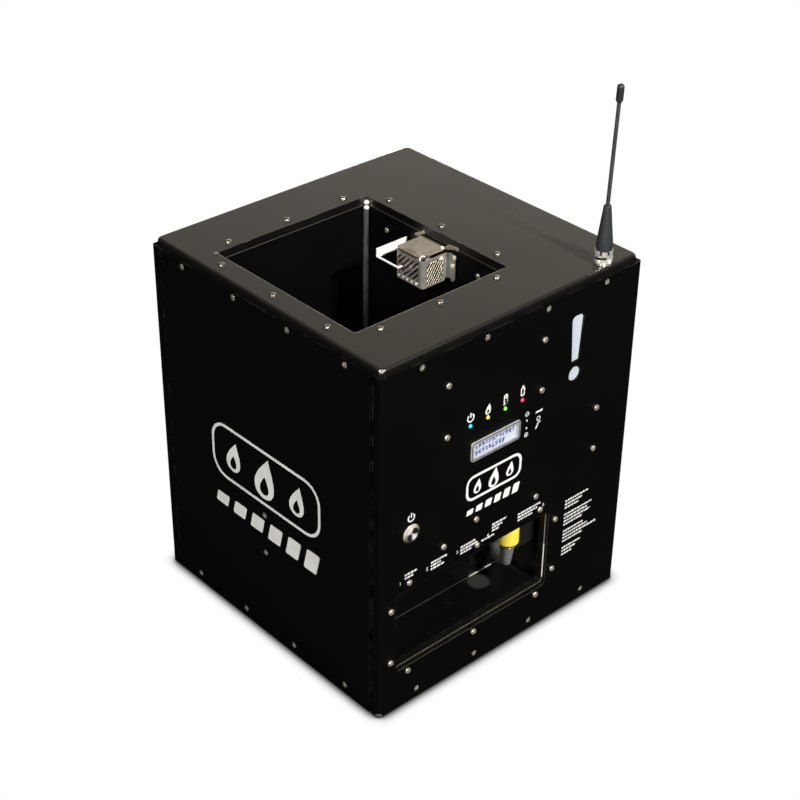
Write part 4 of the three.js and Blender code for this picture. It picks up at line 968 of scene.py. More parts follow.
class CopiesTree:
    """The Geometry Nodes tree that sets copies of one small shape on marked points."""

    NAME = "Copies on points"

    @classmethod
    def tree(cls) -> Tree:
        """Returns the tree, built once."""
        found = bpy.data.node_groups.get(cls.NAME)
        return found if found else cls.build()

    @classmethod
    def build(cls) -> Tree:
        """Builds the tree: align, place, spin at random, realise, dress."""
        tree = bpy.data.node_groups.new(cls.NAME, "GeometryNodeTree")
        for name, kind in (("Points", "Geometry"), ("Shape", "Object"), ("Spin", "Float"), ("Seed", "Int"),
                           ("Finish", "Material")):
            tree.interface.new_socket(name=name, in_out="INPUT", socket_type="NodeSocket" + kind)
        tree.interface.new_socket(name="Copies", in_out="OUTPUT", socket_type="NodeSocketGeometry")
        given = tree.nodes.new("NodeGroupInput").outputs
        result = tree.nodes.new("NodeGroupOutput").inputs["Copies"]
        facing = cls.attribute(tree, "facing")
        along = cls.attribute(tree, "along")
        size = cls.attribute(tree, "size")
        upright = cls.add(tree, "FunctionNodeAlignRotationToVector", {"axis": "Z"}, Vector=facing)
        level = cls.add(tree, "FunctionNodeAlignRotationToVector", {"axis": "X", "pivot_axis": "Z"},
                        Rotation=upright.outputs[0], Vector=along)
        shape = cls.add(tree, "GeometryNodeObjectInfo", {}, Object=given["Shape"])
        placed = cls.add(tree, "GeometryNodeInstanceOnPoints", {}, Points=given["Points"],
                         Instance=shape.outputs["Geometry"], Rotation=level.outputs[0], Scale=size)
        chance = cls.add(tree, "FunctionNodeRandomValue", {"data_type": "FLOAT"}, Seed=given["Seed"])
        turn = cls.add(tree, "ShaderNodeMath", {"operation": "MULTIPLY"})
        tree.links.new(chance.outputs[1], turn.inputs[0])
        tree.links.new(given["Spin"], turn.inputs[1])
        spin = cls.add(tree, "ShaderNodeCombineXYZ", {}, Z=turn.outputs[0])
        spun = cls.add(tree, "GeometryNodeRotateInstances", {}, Instances=placed.outputs[0],
                       Rotation=spin.outputs[0])
        real = cls.add(tree, "GeometryNodeRealizeInstances", {}, Geometry=spun.outputs[0])
        dressed = cls.add(tree, "GeometryNodeSetMaterial", {}, Geometry=real.outputs[0],
                          Material=given["Finish"])
        tree.links.new(dressed.outputs[0], result)
        return tree

    @staticmethod
    def add(tree: Tree, kind: str, settings: dict[str, object],
            **links: Socket) -> Node:
        """Adds a node.

        Args:
            tree: The tree.
            kind: The node's type.
            settings: The node's own properties.
            **links: What feeds its inputs, by their names.

        Returns:
            The new node.
        """
        made = tree.nodes.new(kind)
        for name, value in settings.items():
            setattr(made, name, value)
        for name, socket in links.items():
            target = next(s for s in made.inputs if s.name == name and s.enabled)
            tree.links.new(socket, target)
        return made

    @classmethod
    def attribute(cls, tree: Tree, name: str) -> Socket:
        """Reads a vector that the points carry.

        Args:
            tree: The tree.
            name: The vector's name.

        Returns:
            Its socket.
        """
        made = tree.nodes.new("GeometryNodeInputNamedAttribute")
        made.data_type = "FLOAT_VECTOR"
        made.inputs["Name"].default_value = name
        return made.outputs[0]


@dataclass
class Copies:
    """Copies of one small shape, gathered point by point and made in one go."""

    name: str
    shape: Thing
    finish: Finish
    spin: float = 0.0
    seed: int = 7
    places: list[Vector] = field(default_factory=list)
    facing: list[Vector] = field(default_factory=list)
    along: list[Vector] = field(default_factory=list)
    sizes: list[Vector] = field(default_factory=list)

    def add(self, place: Sequence[float], face: Face, size: Sequence[float] = (1, 1, 1)) -> None:
        """Marks one place.

        Args:
            place: Where the copy's origin goes.
            face: The side that it lies on.
            size: Its scale along the side's right, up and outwards.
        """
        self.places.append(Vector(place))
        self.facing.append(face.outwards)
        self.along.append(face.across)
        self.sizes.append(Vector(size))

    def build(self, body: str = CASE) -> Thing:
        """Makes the copies one plain mesh on a body, and deletes the shape that they repeat."""
        mesh = bpy.data.meshes.new(self.name)
        mesh.from_pydata(self.places, [], [])
        for label, vectors in (("facing", self.facing), ("along", self.along), ("size", self.sizes)):
            layer = mesh.attributes.new(label, "FLOAT_VECTOR", "POINT")
            layer.data.foreach_set("vector", [number for vector in vectors for number in vector])
        holder = as_object(self.name, mesh)
        modifier = holder.modifiers.new("Copies", "NODES")
        modifier.node_group = CopiesTree.tree()
        keys = {item.name: item.identifier for item in modifier.node_group.interface.items_tree}
        modifier[keys["Shape"]] = self.shape
        modifier[keys["Spin"]] = self.spin
        modifier[keys["Seed"]] = self.seed
        modifier[keys["Finish"]] = self.finish.material()
        made = finished(applied(holder), self.finish, body)
        bpy.data.objects.remove(self.shape)
        return made


@dataclass(frozen=True)
class ScrewHead:
    """A cross-recess screw head: its rim, crown, skirt and the cone under it."""

    radius: float = 2.85 * MM
    crown: float = 1.5 * MM
    skirt: float = 0.5 * MM
    cone: float = 0.0
    slot: float = 0.75 * MM
    reach: float = 1.75 * MM
    bite: float = 1.1 * MM
    sides: int = 24
    rings: int = 6
    bulge: float = 0.8

    def shape(self, name: str) -> Thing:
        """Makes the head with its origin where the rim meets the sheet.

        Args:
            name: The object's name.

        Returns:
            The head, hidden.
        """
        top = self.skirt + self.crown
        profile = [(0.0, -self.cone)]
        if self.cone:
            profile.append((self.radius / 2, -self.cone))
        profile.append((self.radius, 0.0))
        for ring in range(self.rings):
            turn = ring / self.rings * math.pi / 2
            rise = self.crown * math.sin(turn) ** self.bulge
            profile.append((self.radius * math.cos(turn), self.skirt + rise))
        profile.append((0.0, top))
        head = turned(name, profile, sides=self.sides)
        cutter = bmesh.new()
        for turn in (0, math.pi / 2):
            place = (Matrix.Translation((0, 0, top)) @ Matrix.Rotation(turn, 4, "Z")
                     @ Matrix.Diagonal((2 * self.reach, self.slot, 2 * self.bite, 1)))
            bmesh.ops.create_cube(cutter, size=1, matrix=place)
        return hidden(cut(head, from_bmesh(name + "_recess", cutter), use_self=True))


@dataclass
class SheetScrews:
    """Where the case's screws sit, and how their heads lie in or on the sheet."""

    flush: ScrewHead = ScrewHead(radius=2.75 * MM, crown=0.62 * MM, skirt=0.0, cone=1.2 * MM, bite=0.55 * MM)
    proud: ScrewHead = ScrewHead()
    sunk: float = 0.72 * MM
    hole: float = 3.15 * MM
    hole_foot: float = 1.45 * MM
    hole_depth: float = 1.85 * MM
    rows: tuple[tuple[float, tuple[float, ...]], ...] = (
        (338.4, (-106.6, -35.4, 35.4, 106.6)), (9.0, (-105.0, -34.8, 34.8, 105.0)),
    )
    side_rows: tuple[tuple[float, tuple[float, ...]], ...] = ((133.2, (-2.4,)), (92.4, (-2.4,)))

    def side_places(self, face: Face) -> list[Vector]:
        """Finds the screws of one wall.

        Args:
            face: The wall.

        Returns:
            Their places on its outer face.
        """
        rows = self.rows + (self.side_rows if face in (Face.LEFT, Face.RIGHT) else ())
        out = max(CASE_LOW.dot(face.outwards), CASE_HIGH.dot(face.outwards))
        return [face.across * (offset * MM) + face.outwards * out + Vector((0, 0, height * MM))
                for height, offsets in rows for offset in offsets]

    def cutter(self, places: Sequence[Vector], face: Face) -> Thing:
        """Makes the countersinks of one wall as one cutting shape.

        Args:
            places: The screws' places.
            face: The wall.

        Returns:
            The shape.
        """
        whole = bmesh.new()
        profile = [(0.0, -self.hole_depth), (self.hole_foot, -self.hole_depth), (self.hole, -self.sunk),
                   (self.hole, MM), (0.0, MM)]
        for place in places:
            one = lathe(profile, Vector(), sides=24)
            bmesh.ops.transform(one, verts=one.verts, matrix=Matrix.Translation(place) @ face.turn())
            scratch = bpy.data.meshes.new("countersink")
            one.to_mesh(scratch)
            one.free()
            whole.from_mesh(scratch)
            bpy.data.meshes.remove(scratch)
        return from_bmesh("countersinks", whole)


@dataclass(frozen=True)
class CutEdge:
    """A thin line of painted highlight along a cut edge: its points and radius in millimetres, and its finish.
    """

    name: str
    points: tuple[Rgb, ...]
    radius: float
    finish: Finish
    turn: float = 0.0

    def build(self) -> None:
        """Makes the line a piece."""
        finished(bead(self.name, self.points, self.radius * MM, self.turn), self.finish)


@dataclass
class Case:
    """The folded case: four walls, the lid, the tray and every screw in them."""

    screws: SheetScrews = field(default_factory=SheetScrews)
    lid_pitch: Point2 = (64.8, 68.9)
    lid_reach: Point2 = (94.8, 98.8)
    panel_places: tuple[Point2, ...] = (
        (-77.9, 310.3), (32.4, 310.3), (-77.9, 260.8), (32.4, 260.8), (105.6, 212.4), (105.6, 169.2),
        (-77.9, 150.4), (-40.0, 160.8), (33.5, 150.0), (-116.6, 132.5), (-37.8, 132.5), (40.1, 132.5),
        (-116.4, 36.0), (-37.6, 36.0), (41.3, 36.0), (-136.8, 111.8), (-136.8, 55.8), (61.4, 111.8),
        (61.4, 55.8),
    )
    edge_sunk: float = 0.25
    lip_drop: float = 7.6

    def build(self) -> None:
        """Makes the walls, the lid and the screws."""
        self.build_walls()
        dress_copy("lid", "lid_pan", LID_PAINT, 0.6 * MM)
        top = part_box("lid")[1].z / MM - self.edge_sunk
        foot = top - self.lip_drop
        # Painted highlights along the near edges of the well's opening and the foot of its far lip.
        CutEdge("well_cut_edge", ((-125.2, 86.0, top), (-125.2, -90.8, top), (41.6, -90.8, top)), 0.32,
                LID_EDGE_HIGHLIGHT, 3.0).build()
        CutEdge("well_lip_edge", ((44.4, -87.5, foot), (44.4, 88.8, foot), (-122.0, 88.8, foot)), 0.3,
                LIP_EDGE_HIGHLIGHT, 3.0).build()
        paint_node(TRAY_PAINT, "base_tray")
        self.build_proud_screws()

    def build_walls(self) -> None:
        """Makes the four walls with their countersunk screws."""
        flush = Copies("wall_screws", self.screws.flush.shape("flush_head"), SCREW_STEEL, spin=math.pi)
        for node, face in (("left_wall", Face.LEFT), ("right_wall", Face.RIGHT), ("front_panel", Face.FRONT),
                           ("rear_panel", Face.REAR)):
            places = self.screws.side_places(face)
            sheet = fair_copy(node, node + "_sheet", face if face is Face.LEFT else None)
            sheet = cut(sheet, self.screws.cutter(places, face))
            finished(broken_edges(sheet, 0.25 * MM), WALL_PAINT, CASE, [node])
            for place in places:
                flush.add(place - face.outwards * self.screws.sunk, face)
        flush.build()

    def build_proud_screws(self) -> None:
        """Makes the screws that stand on the front panel and on the lid."""
        front = Copies("panel_screws", self.screws.proud.shape("panel_head"), SCREW_STEEL, math.pi, seed=3)
        for x, z in self.panel_places:
            front.add((x * MM, CASE_LOW.y, z * MM), Face.FRONT)
        front.build()
        top = Copies("lid_screws", self.screws.proud.shape("lid_head"), LID_SCREW_STEEL, math.pi, seed=5)
        middle = Vector((middle_of("well_liner").x, 0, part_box("lid")[1].z))
        for side in (-1, 1):
            for step in (-1, 0, 1):
                for x, y in ((side * self.lid_reach[0], step * self.lid_pitch[1]),
                             (step * self.lid_pitch[0], side * self.lid_reach[1])):
                    top.add(middle + Vector((x, y, 0)) * MM, Face.TOP)
        top.build()


@dataclass
class Well:
    """The shaft for the flame, its floor and the nozzle in it."""

    wall_screws: tuple[tuple[Face, Rgb], ...] = (
        (Face.LEFT, (44.6, 60.5, 327.0)), (Face.LEFT, (44.6, -57.3, 328.0)),
    )
    bead_radius: float = 3.0 * MM
    bead_foot: float = 0.4 * MM
    bead_top: float = 10.0 * MM
    weld_radius: float = 2.0 * MM
    weld_inset: float = 3.4 * MM
    weld_heights: Point2 = (5.0 * MM, 10.2 * MM)
    weld_size: Rgb = (1.3, 1.3, 1.2)

    def build(self) -> None:
        """Makes the liner, floor and nozzle."""
        dress_copy("well_liner", "well_shaft", WELL_PAINT, 0.3 * MM)
        dress_copy("well_floor", "well_floor_plate", WELL_PAINT, 0.3 * MM)
        dress_copy("nozzle", "flame_nozzle", BRASS, 0.2 * MM)
        self.build_corner_bead()
        head = ScrewHead(radius=2.6 * MM).shape("well_head")
        screws = Copies("well_screws", head, SCREW_STEEL, math.pi, seed=9)
        for face, place in self.wall_screws:
            screws.add(Vector(place) * MM, face)
        screws.build()

    def build_corner_bead(self) -> None:
        """Makes the bead of sealant in the far corner of the shaft, with two bare welds at its head whose
        near-white steel is a painted glint.
        """
        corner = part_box("well_floor")[1]
        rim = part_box("lid")[1].z
        foot, head = corner.z + self.bead_foot, rim - self.bead_top
        radius = self.bead_radius
        inset = radius * 0.8
        profile = rounded([(0.0, foot), (radius, foot), (radius, head), (0.0, head)], 0.8 * MM)
        finished(turned("well_corner_bead", profile, Vector((corner.x - inset, corner.y - inset, 0)), sides=24),
                 CORNER_BEAD)
        welds = Copies("corner_welds", rounded_disc("weld", self.weld_radius, 1.6 * MM, 1.2 * MM, 1.2 * MM, 20),
                       GLINT_STEEL)
        for height in self.weld_heights:
            place = (corner.x - self.weld_inset, corner.y - self.weld_inset, rim - height)
            welds.add(place, Face.TOP, self.weld_size)
        welds.build()


@dataclass
class Igniter:
    """The slotted cage over the spark electrodes, its cover, its shelf and the coil behind."""

    wing_screws: tuple[Point2, ...] = ((-27.3, 333.8), (-25.3, 324.7))
    wing_thick: float = 1.2
    front_screw: Point2 = (36.9, 332.4)
    front_screw_inset: float = 9.4
    cover_screw: Point2 = (43.0, -13.5)
    cover_screw_rise: float = 2.9
    small_head: Rgb = (0.8, 0.8, 0.8)
    curl: Point2 = (18.1, -15.4)
    curl_rise: float = 0.6
    curl_radius: float = 2.9
    curl_line: float = 0.62
    curl_nick: float = 4.4
    # Radius of the dark disc of painted shade over the curl's hollow.
    curl_hollow: float = 2.62
    curl_turn: Point2 = (48.0, 290.0)
    slot_middle: Point2 = (29.3, 321.8)
    slot_window: tuple[Point2, Point2] = ((20.0, 38.6), (310.9, 332.6))
    slot_pitch: float = 3.3
    slot_turn: float = 57.0
    slot_least: float = 1.5
    slot_count: int = 17
    slot_half: float = 1.05
    front_face: float = 19.0
    lip_radius: float = 0.45
    lip_rise: float = 0.1
    tab_places: tuple[float, ...] = (10.5, 5.0, -0.5, -6.0, -11.5)
    tab_height: float = 312.3
    tab_inset: float = 0.35
    tab_size: Rgb = (1.0, 1.2, 1.0)

    def build(self) -> None:
        """Makes the cage and everything in it."""
        dress_copy("igniter_guard", "igniter_cage", CAGE_STEEL, 0.18 * MM)
        self.build_cover()
        self.build_slot_lips()
        self.build_curl_rim()
        self.build_tabs()
        # The shelf's near-white finish is a painted reflection.
        dress_copy("igniter_shelf", "cage_shelf", SHELF_GLARE_STEEL, 0.2 * MM)
        for side in ("front", "rear"):
            self.build_electrode(side)
        dress_copy("ignition_coil", "spark_coil", DARK_PLASTIC, 0.6 * MM)
        self.build_screws()

    def build_screws(self) -> None:
        """Makes the screws of the wing, the front and the cover."""
        head = ScrewHead(radius=2.25 * MM, crown=1.1 * MM, reach=1.2 * MM, slot=0.6 * MM)
        # Near-white steel: a painted glint on the heads.
        screws = Copies("cage_screws", head.shape("cage_head"), GLINT_STEEL, math.pi, seed=11)
        low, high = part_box("igniter_guard")
        for y, z in self.wing_screws:
            screws.add((high.x - self.wing_thick * MM, y * MM, z * MM), Face.LEFT)
        x, z = self.front_screw
        screws.add((x * MM, low.y + self.front_screw_inset * MM, z * MM), Face.FRONT, self.small_head)
        x, y = self.cover_screw
        screws.add((x * MM, y * MM, high.z + self.cover_screw_rise * MM), Face.TOP, self.small_head)
        screws.build()

    def build_cover(self) -> None:
        """Makes the cover with the nick that clears the curled corner."""
        low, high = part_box("guard_cover")
        radius, foot, head = self.curl_nick * MM, low.z - MM, high.z + MM
        nick = turned("nick", [(0.0, foot), (radius, foot), (radius, head), (0.0, head)],
                      Vector((*self.curl, 0)) * MM, sides=40)
        cover = cut(fair_copy("guard_cover", "cage_cover"), nick)
        finished(broken_edges(cover, 0.2 * MM), COVER_STEEL, CASE, ["guard_cover"])

    def slanted(self, shift: float) -> list[Point2]:
        """Finds a line along the fine slots, cut to the slotted part of the front.

        Args:
            shift: How far right of the middle slot the line crosses its height.

        Returns:
            The line's two ends, or nothing where it misses the slotted part.
        """
        (left, right), (low, high) = self.slot_window
        slope = math.tan(math.radians(self.slot_turn))
        ends = []
        for level in (low, high):
            across = self.slot_middle[0] + shift + (level - self.slot_middle[1]) / slope
            kept = min(max(across, left), right)
            ends.append((kept, level + (kept - across) * slope))
        return ends if ends[1][0] - ends[0][0] > self.slot_least else []

    def build_slot_lips(self) -> None:
        """Makes the bright lips pressed up between the fine slots, and dark bands of painted shade along the
        slots.
        """
        # Painted shade: dark bands laid over the fine slots.
        soot = Print("slot_soot", Face.FRONT, self.front_face * MM)
        near = -self.front_face - self.lip_rise
        aside = self.slot_half
        lips = bmesh.new()
        half = self.slot_count // 2
        for step in range(-half, half + 1):
            ends = self.slanted(step * self.slot_pitch)
            if ends:
                (x0, z0), (x1, z1) = ends
                soot.outline(((x0 - aside, z0), (x0 + aside, z0), (x1 + aside, z1), (x1 - aside, z1)))
            ends = self.slanted((step + 0.5) * self.slot_pitch)
            if ends:
                lip = bead("lip", [(x, near, z) for x, z in ends], self.lip_radius * MM)
                lips.from_mesh(lip.data)
                bpy.data.objects.remove(lip)
        soot.build(CAGE_PAINTED_SHADE)
        finished(from_bmesh("slot_lips", lips), LIP_STEEL)

    def build_curl_rim(self) -> None:
        """Makes the bright end of the curled corner, its near-white steel a painted glint, over a dark disc of
        painted shade in its hollow.
        """
        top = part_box("igniter_guard")[1].z
        middle = Vector((*self.curl, top / MM + self.curl_rise))
        across, along = Vector((0.7071, -0.7071, 0.0)), Vector((0.47, 0.47, 0.74)).normalized()
        start, sweep = self.curl_turn
        steps = 24
        turns = [math.radians(start + sweep * step / steps) for step in range(steps + 1)]
        points = [middle + (across * math.cos(turn) + along * math.sin(turn)) * self.curl_radius
                  for turn in turns]
        finished(bead("curl_rim", points, self.curl_line * MM), GLINT_STEEL)
        # Painted shade: a dark disc laid over the curl's hollow.
        hollow = Print("curl_hollow", Face.TOP, top - 0.7 * MM)
        hollow.disc(*self.curl, self.curl_hollow)
        hollow.build(CAGE_PAINTED_SHADE)

    def build_tabs(self) -> None:
        """Makes near-white discs of painted highlight on the tips of the tabs under the louvres."""
        # Painted highlights: near-white discs on the tabs' tips.
        tips = Copies("tab_tips", rounded_disc("tip", 1.1 * MM, 0.5 * MM, 0.4 * MM, 0.3 * MM, 20), GLINT_STEEL)
        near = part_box("igniter_guard")[0].x + self.tab_inset * MM
        for y in self.tab_places:
            tips.add((near, y * MM, self.tab_height * MM), Face.LEFT, self.tab_size)
        tips.build()

    def build_electrode(self, side: str) -> None:
        """Makes one insulator and its hooked wire.

        Args:
            side: front or rear.
        """
        low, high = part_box("insulator_" + side)
        stem, rim = 3.2 * MM, (high.y - low.y) / 2
        reach = high.x - low.x
        skirt, shoulder = reach - 6 * MM, reach - 2.4 * MM
        profile = [(0.0, 0.0), (stem * 0.7, 0.0), (stem, 0.8 * MM)]
        for rib in range(4):
            start = 1.5 * MM + rib * 2.0 * MM
            profile += [(stem, start), (stem + 0.45 * MM, start + 0.5 * MM), (stem, start + MM)]
        profile += [(stem, skirt), (rim, skirt), (rim, shoulder), (stem, shoulder), (stem, reach), (0.0, reach)]
        middle = middle_of("insulator_" + side)
        foot = Vector((low.x, middle.y, middle.z))
        body = turned("ceramic_" + side, rounded(profile, 0.3 * MM), foot, Axis.X, 40)
        finished(body, CERAMIC, CASE, ["insulator_" + side])
        dress_copy("electrode_" + side, "spark_wire_" + side, WIRE_STEEL, 0.15 * MM)


@dataclass
class ConnectorBay:
    """The recess low on the panel with its sockets and the yellow safety plug."""

    bead: float = 0.55 * MM
    # Where the seam's paler stretch of painted light starts and ends.
    painted_light_stretch: Point2 = (6.6 * MM, 35 * MM)
    end_room: float = 2 * MM
    sheet: float = 1.5 * MM
    pin_radius: float = 1.1 * MM
    pin_tip: float = 0.7 * MM
    pin_length: float = 9.6 * MM
    pin_circle: float = 4.2 * MM
    edge_turn: float = 4.0
    nose: float = 7.6 * MM
    nose_length: float = 12 * MM
    nose_depth: float = 6 * MM
    nose_wall: float = 1.2 * MM
    grip_groove: float = 0.5 * MM
    boot_foot: float = 4.2 * MM
    boot_collar: float = 0.9 * MM

    def build(self) -> None:
        """Makes the recess, its frame, the sockets and the plug."""
        dress_copy("bay_box", "bay_recess", BAY_GLOSS, 0.3 * MM)
        dress_copy("bay_frame", "bay_border", BAY_BORDER, 0.4 * MM)
        for index in range(1, 6):
            dress_copy(f"socket_{index}", f"socket_body_{index}", DARK_PLASTIC, 0.4 * MM)
        self.build_pins()
        self.build_seam()
        self.build_edges()
        self.build_sleeve()
        self.build_boot()

    def build_pins(self) -> None:
        """Makes the three contact pins in each free socket."""
        radius, tip, long = self.pin_radius, self.pin_tip, self.pin_length
        pin = turned("pin", [(0.0, 0.0), (radius, 0.0), (radius, long - radius), (tip, long - 0.2 * MM),
                             (0.0, long)], sides=16)
        pins = Copies("socket_pins", hidden(pin), BRASS)
        for index in range(1, 5):
            node = f"socket_{index}"
            middle = middle_of(node)
            foot = Vector((middle.x, middle.y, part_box(node)[0].z + self.pin_circle))
            for step in range(3):
                turn = math.radians(90 + 120 * step)
                pins.add(foot + Vector((math.cos(turn), math.sin(turn), 0)) * self.pin_circle, Face.TOP)
        pins.build()

    def build_seam(self) -> None:
        """Makes the bead of sealant where the floor of the recess meets its back; one stretch of it is paler,
        painted light where the lit patch crosses it.
        """
        low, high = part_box("bay_box")
        inset = self.sheet + self.bead * 0.6
        ends = (low.x + self.end_room, *self.painted_light_stretch, high.x - self.end_room)
        for index, (start, end) in enumerate(zip(ends, ends[1:])):
            long = end - start
            profile = [(0.0, 0.0), (self.bead, 0.0), (self.bead, long), (0.0, long)]
            strip = turned(f"bay_seam_{index + 1}", profile, Vector((start, high.y - inset, low.z + inset)),
                           Axis.X, 16)
            finished(strip, SEAM_PAINTED_LIGHT if index == 1 else SEAM)

    def build_edges(self) -> None:
        """Makes lines of painted highlight along the edges of the border and of the panel's cut-out, low and on
        the right.
        """
        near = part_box("bay_frame")[0].y / MM
        panel = CASE_LOW.y / MM + 0.2
        turn = self.edge_turn
        for edge in (
            CutEdge("border_low_edge", ((-128.0, near, 45.5), (51.1, near, 45.5), (51.1, near, 50.5)), 0.5,
                    BORDER_LOW_HIGHLIGHT, turn),
            CutEdge("border_bare_edge", ((51.2, near, 50.5), (51.2, near, 88.0)), 0.62, BORDER_RIGHT_HIGHLIGHT),
            CutEdge("border_high_edge", ((51.1, near, 88.0), (51.1, near, 121.0)), 0.5, BORDER_UPPER_HIGHLIGHT),
            CutEdge("panel_low_edge", ((-128.0, panel, 41.8), (52.7, panel, 41.8), (52.7, panel, 121.0)), 0.35,
                    PANEL_EDGE_HIGHLIGHT, turn),
        ):
            edge.build()

    def build_sleeve(self) -> None:
        """Makes the plug's smooth yellow sleeve with its groove and its nose."""
        low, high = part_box("plug_sleeve")
        middle = middle_of("plug_sleeve")
        radius, tall = (high.x - low.x) / 2, high.z - low.z
        shoulder, cup = tall - self.nose_length, tall - self.nose_depth
        waist, bore = radius - self.grip_groove, self.nose - self.nose_wall
        profile = [(0.0, 0.0), (radius - 0.6 * MM, 0.0), (radius, 0.8 * MM), (radius, shoulder - 7 * MM),
                   (waist, shoulder - 6.6 * MM), (waist, shoulder - 5.4 * MM), (radius, shoulder - 5 * MM),
                   (radius, shoulder), (self.nose, shoulder), (self.nose, tall), (bore, tall), (bore, cup),
                   (0.0, cup)]
        foot = Vector((middle.x, middle.y, low.z))
        made = turned("safety_plug_sleeve", rounded(profile, 0.5 * MM), foot, sides=64)
        finished(made, YELLOW, "safety_plug", ["plug_sleeve"])

    def build_boot(self) -> None:
        """Makes the plug's tapering boot with its collar."""
        low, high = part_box("plug_boot")
        middle = middle_of("plug_sleeve")
        rim, tall, foot = (high.x - low.x) / 2, high.z - low.z, self.boot_foot
        neck = rim - self.boot_collar
        profile = [(0.0, 0.0), (foot - 1.6 * MM, 0.0), (foot - 0.5 * MM, 0.4 * MM), (foot, 1.4 * MM),
                   (rim - 0.5 * MM, tall - 4.4 * MM), (neck, tall - 4.1 * MM), (neck, tall - 3.7 * MM),
                   (rim, tall - 3.4 * MM), (rim, tall - 0.5 * MM), (rim - 0.4 * MM, tall), (0.0, tall)]
        made = turned("safety_plug_boot", rounded(profile, 0.35 * MM), Vector((middle.x, middle.y, low.z)),
                      sides=64)
        finished(made, BOOT_RUBBER, "safety_plug", ["plug_boot"])


class Print:
    """Flat marks in one ink on one side of the case."""

    def __init__(self, name: str, face: Face, at: float) -> None:
        """Starts a print.

        Args:
            name: The piece's name.
            face: The side that it is on.
            at: How far out the side lies.
        """
        self.name = name
        self.face = face
        self.at = at
        self.curve = bpy.data.curves.new(name, "CURVE")
        self.curve.dimensions = "2D"
        self.curve.fill_mode = "BOTH"
        self.curve.extrude = PRINT_ROOM

    def outline(self, points: Iterable[Point2]) -> None:
        """Adds a closed outline in millimetres; one inside another is a hole."""
        listed = list(points)
        spline = self.curve.splines.new("POLY")
        spline.points.add(len(listed) - 1)
        for point, (u, v) in zip(spline.points, listed):
            point.co = (u * MM, v * MM, 0, 1)
        spline.use_cyclic_u = True

    def disc(self, u: float, v: float, radius: float, sides: int = 32) -> None:
        """Adds a round outline."""
        turns = [2 * math.pi * step / sides for step in range(sides)]
        self.outline((u + radius * math.cos(turn), v + radius * math.sin(turn)) for turn in turns)

    def ring(self, u: float, v: float, radius: float, line: float) -> None:
        """Adds a ring with its line inside the radius."""
        self.disc(u, v, radius)
        self.disc(u, v, radius - line)

    def bar(self, u: float, v: float, across: float, up: float, radius: float = 0.0, lean: float = 0.0) -> None:
        """Adds a filled bar.

        Args:
            u: Its middle to the right.
            v: Its middle up.
            across: Its width.
            up: Its height.
            radius: The radius of its corners.
            lean: How far it leans to the right, for each unit up.
        """
        corners = []
        for sign_u, sign_v, start in ((1, -1, -90), (1, 1, 0), (-1, 1, 90), (-1, -1, 180)):
            steps = 6 if radius else 0
            for step in range(steps + 1):
                turn = math.radians(start + 90 * step / max(steps, 1))
                x = sign_u * (across / 2 - radius) + radius * math.cos(turn)
                y = sign_v * (up / 2 - radius) + radius * math.sin(turn)
                corners.append((u + x + lean * y, v + y))
        self.outline(corners)

    def frame(self, u: float, v: float, across: float, up: float, radius: float, line: float) -> None:
        """Adds an outlined bar, its line inside the sizes."""
        self.bar(u, v, across, up, radius)
        self.bar(u, v, across - 2 * line, up - 2 * line, max(radius - line, 0.05))

    def flame(self, u: float, v: float, tall: float, hollow: float) -> None:
        """Adds a flame: a drop that leans at its tip, with a smaller one left open inside it.

        Args:
            u: Its middle to the right.
            v: Its middle up.
            tall: Its height.
            hollow: The inner drop's size as a share of the outer one's.
        """
        steps = 40
        width_share, lean_share = 0.42, 0.16
        for scale, drop in ((1.0, 0.0), (hollow, -0.18)):
            points = []
            for step in range(steps):
                turn = 2 * math.pi * step / steps
                up = math.cos(turn) * tall / 2 * scale
                side = math.sin(turn) * math.sin(turn / 2) ** 1.3 * tall * width_share * scale
                bend = lean_share * tall * ((up / tall + 0.5) ** 2 * scale - 0.25)
                points.append((u + side + bend, v + up + drop * tall))
            self.outline(points)

    def power(self, u: float, v: float, radius: float, line: float) -> None:
        """Adds the open ring and bar of a power switch.

        Args:
            u: Its middle to the right.
            v: Its middle up.
            radius: The ring's outer radius.
            line: How thick the ring and the bar are.
        """
        steps, start, end = 24, 125, 415
        turns = [math.radians(start + (end - start) * step / steps) for step in range(steps + 1)]
        self.outline((u + reach * math.cos(turn), v + reach * math.sin(turn))
                     for reach, listed in ((radius, turns), (radius - line, turns[::-1])) for turn in listed)
        self.bar(u, v + radius * 0.62, line, radius * 1.1)

    def battery(self, u: float, v: float, tall: float) -> None:
        """Adds an upright cell with three bars.

        Args:
            u: Its middle to the right.
            v: Its middle up.
            tall: Its height.
        """
        across = tall * 0.42
        self.frame(u, v - tall * 0.04, across, tall * 0.92, 0.3, tall * 0.1)
        self.bar(u, v + tall * 0.46, across * 0.45, tall * 0.08)
        for step in (-1, 0, 1):
            self.bar(u, v + (step * 0.23 - 0.04) * tall, across * 0.6, tall * 0.15)

    def bottle(self, u: float, v: float, tall: float) -> None:
        """Adds an upright bottle with its neck.

        Args:
            u: Its middle to the right.
            v: Its middle up.
            tall: Its height.
        """
        across = tall * 0.46
        self.frame(u, v - tall * 0.08, across, tall * 0.84, across * 0.35, tall * 0.12)
        self.bar(u, v + tall * 0.42, across * 0.42, tall * 0.14)

    def words(self, left: float, top: float, widths: Sequence[float], pitch: float, tall: float,
              rng: random.Random) -> None:
        """Adds rows of short dashes where the machine has print.

        Args:
            left: Where the rows start.
            top: The upper edge of the first row.
            widths: Each row's width, 0 for an empty one.
            pitch: The distance between rows.
            tall: A dash's height.
            rng: The source of the dashes' lengths.
        """
        gap, shortest, longest, spill = 0.75, 1.4, 4.2, 0.4
        for row, width in enumerate(widths):
            u = left
            while width and u < left + width:
                dash = min(rng.uniform(shortest, longest), left + width - u + spill)
                self.bar(u + dash / 2, top - row * pitch - tall / 2, dash, tall)
                u += dash + gap

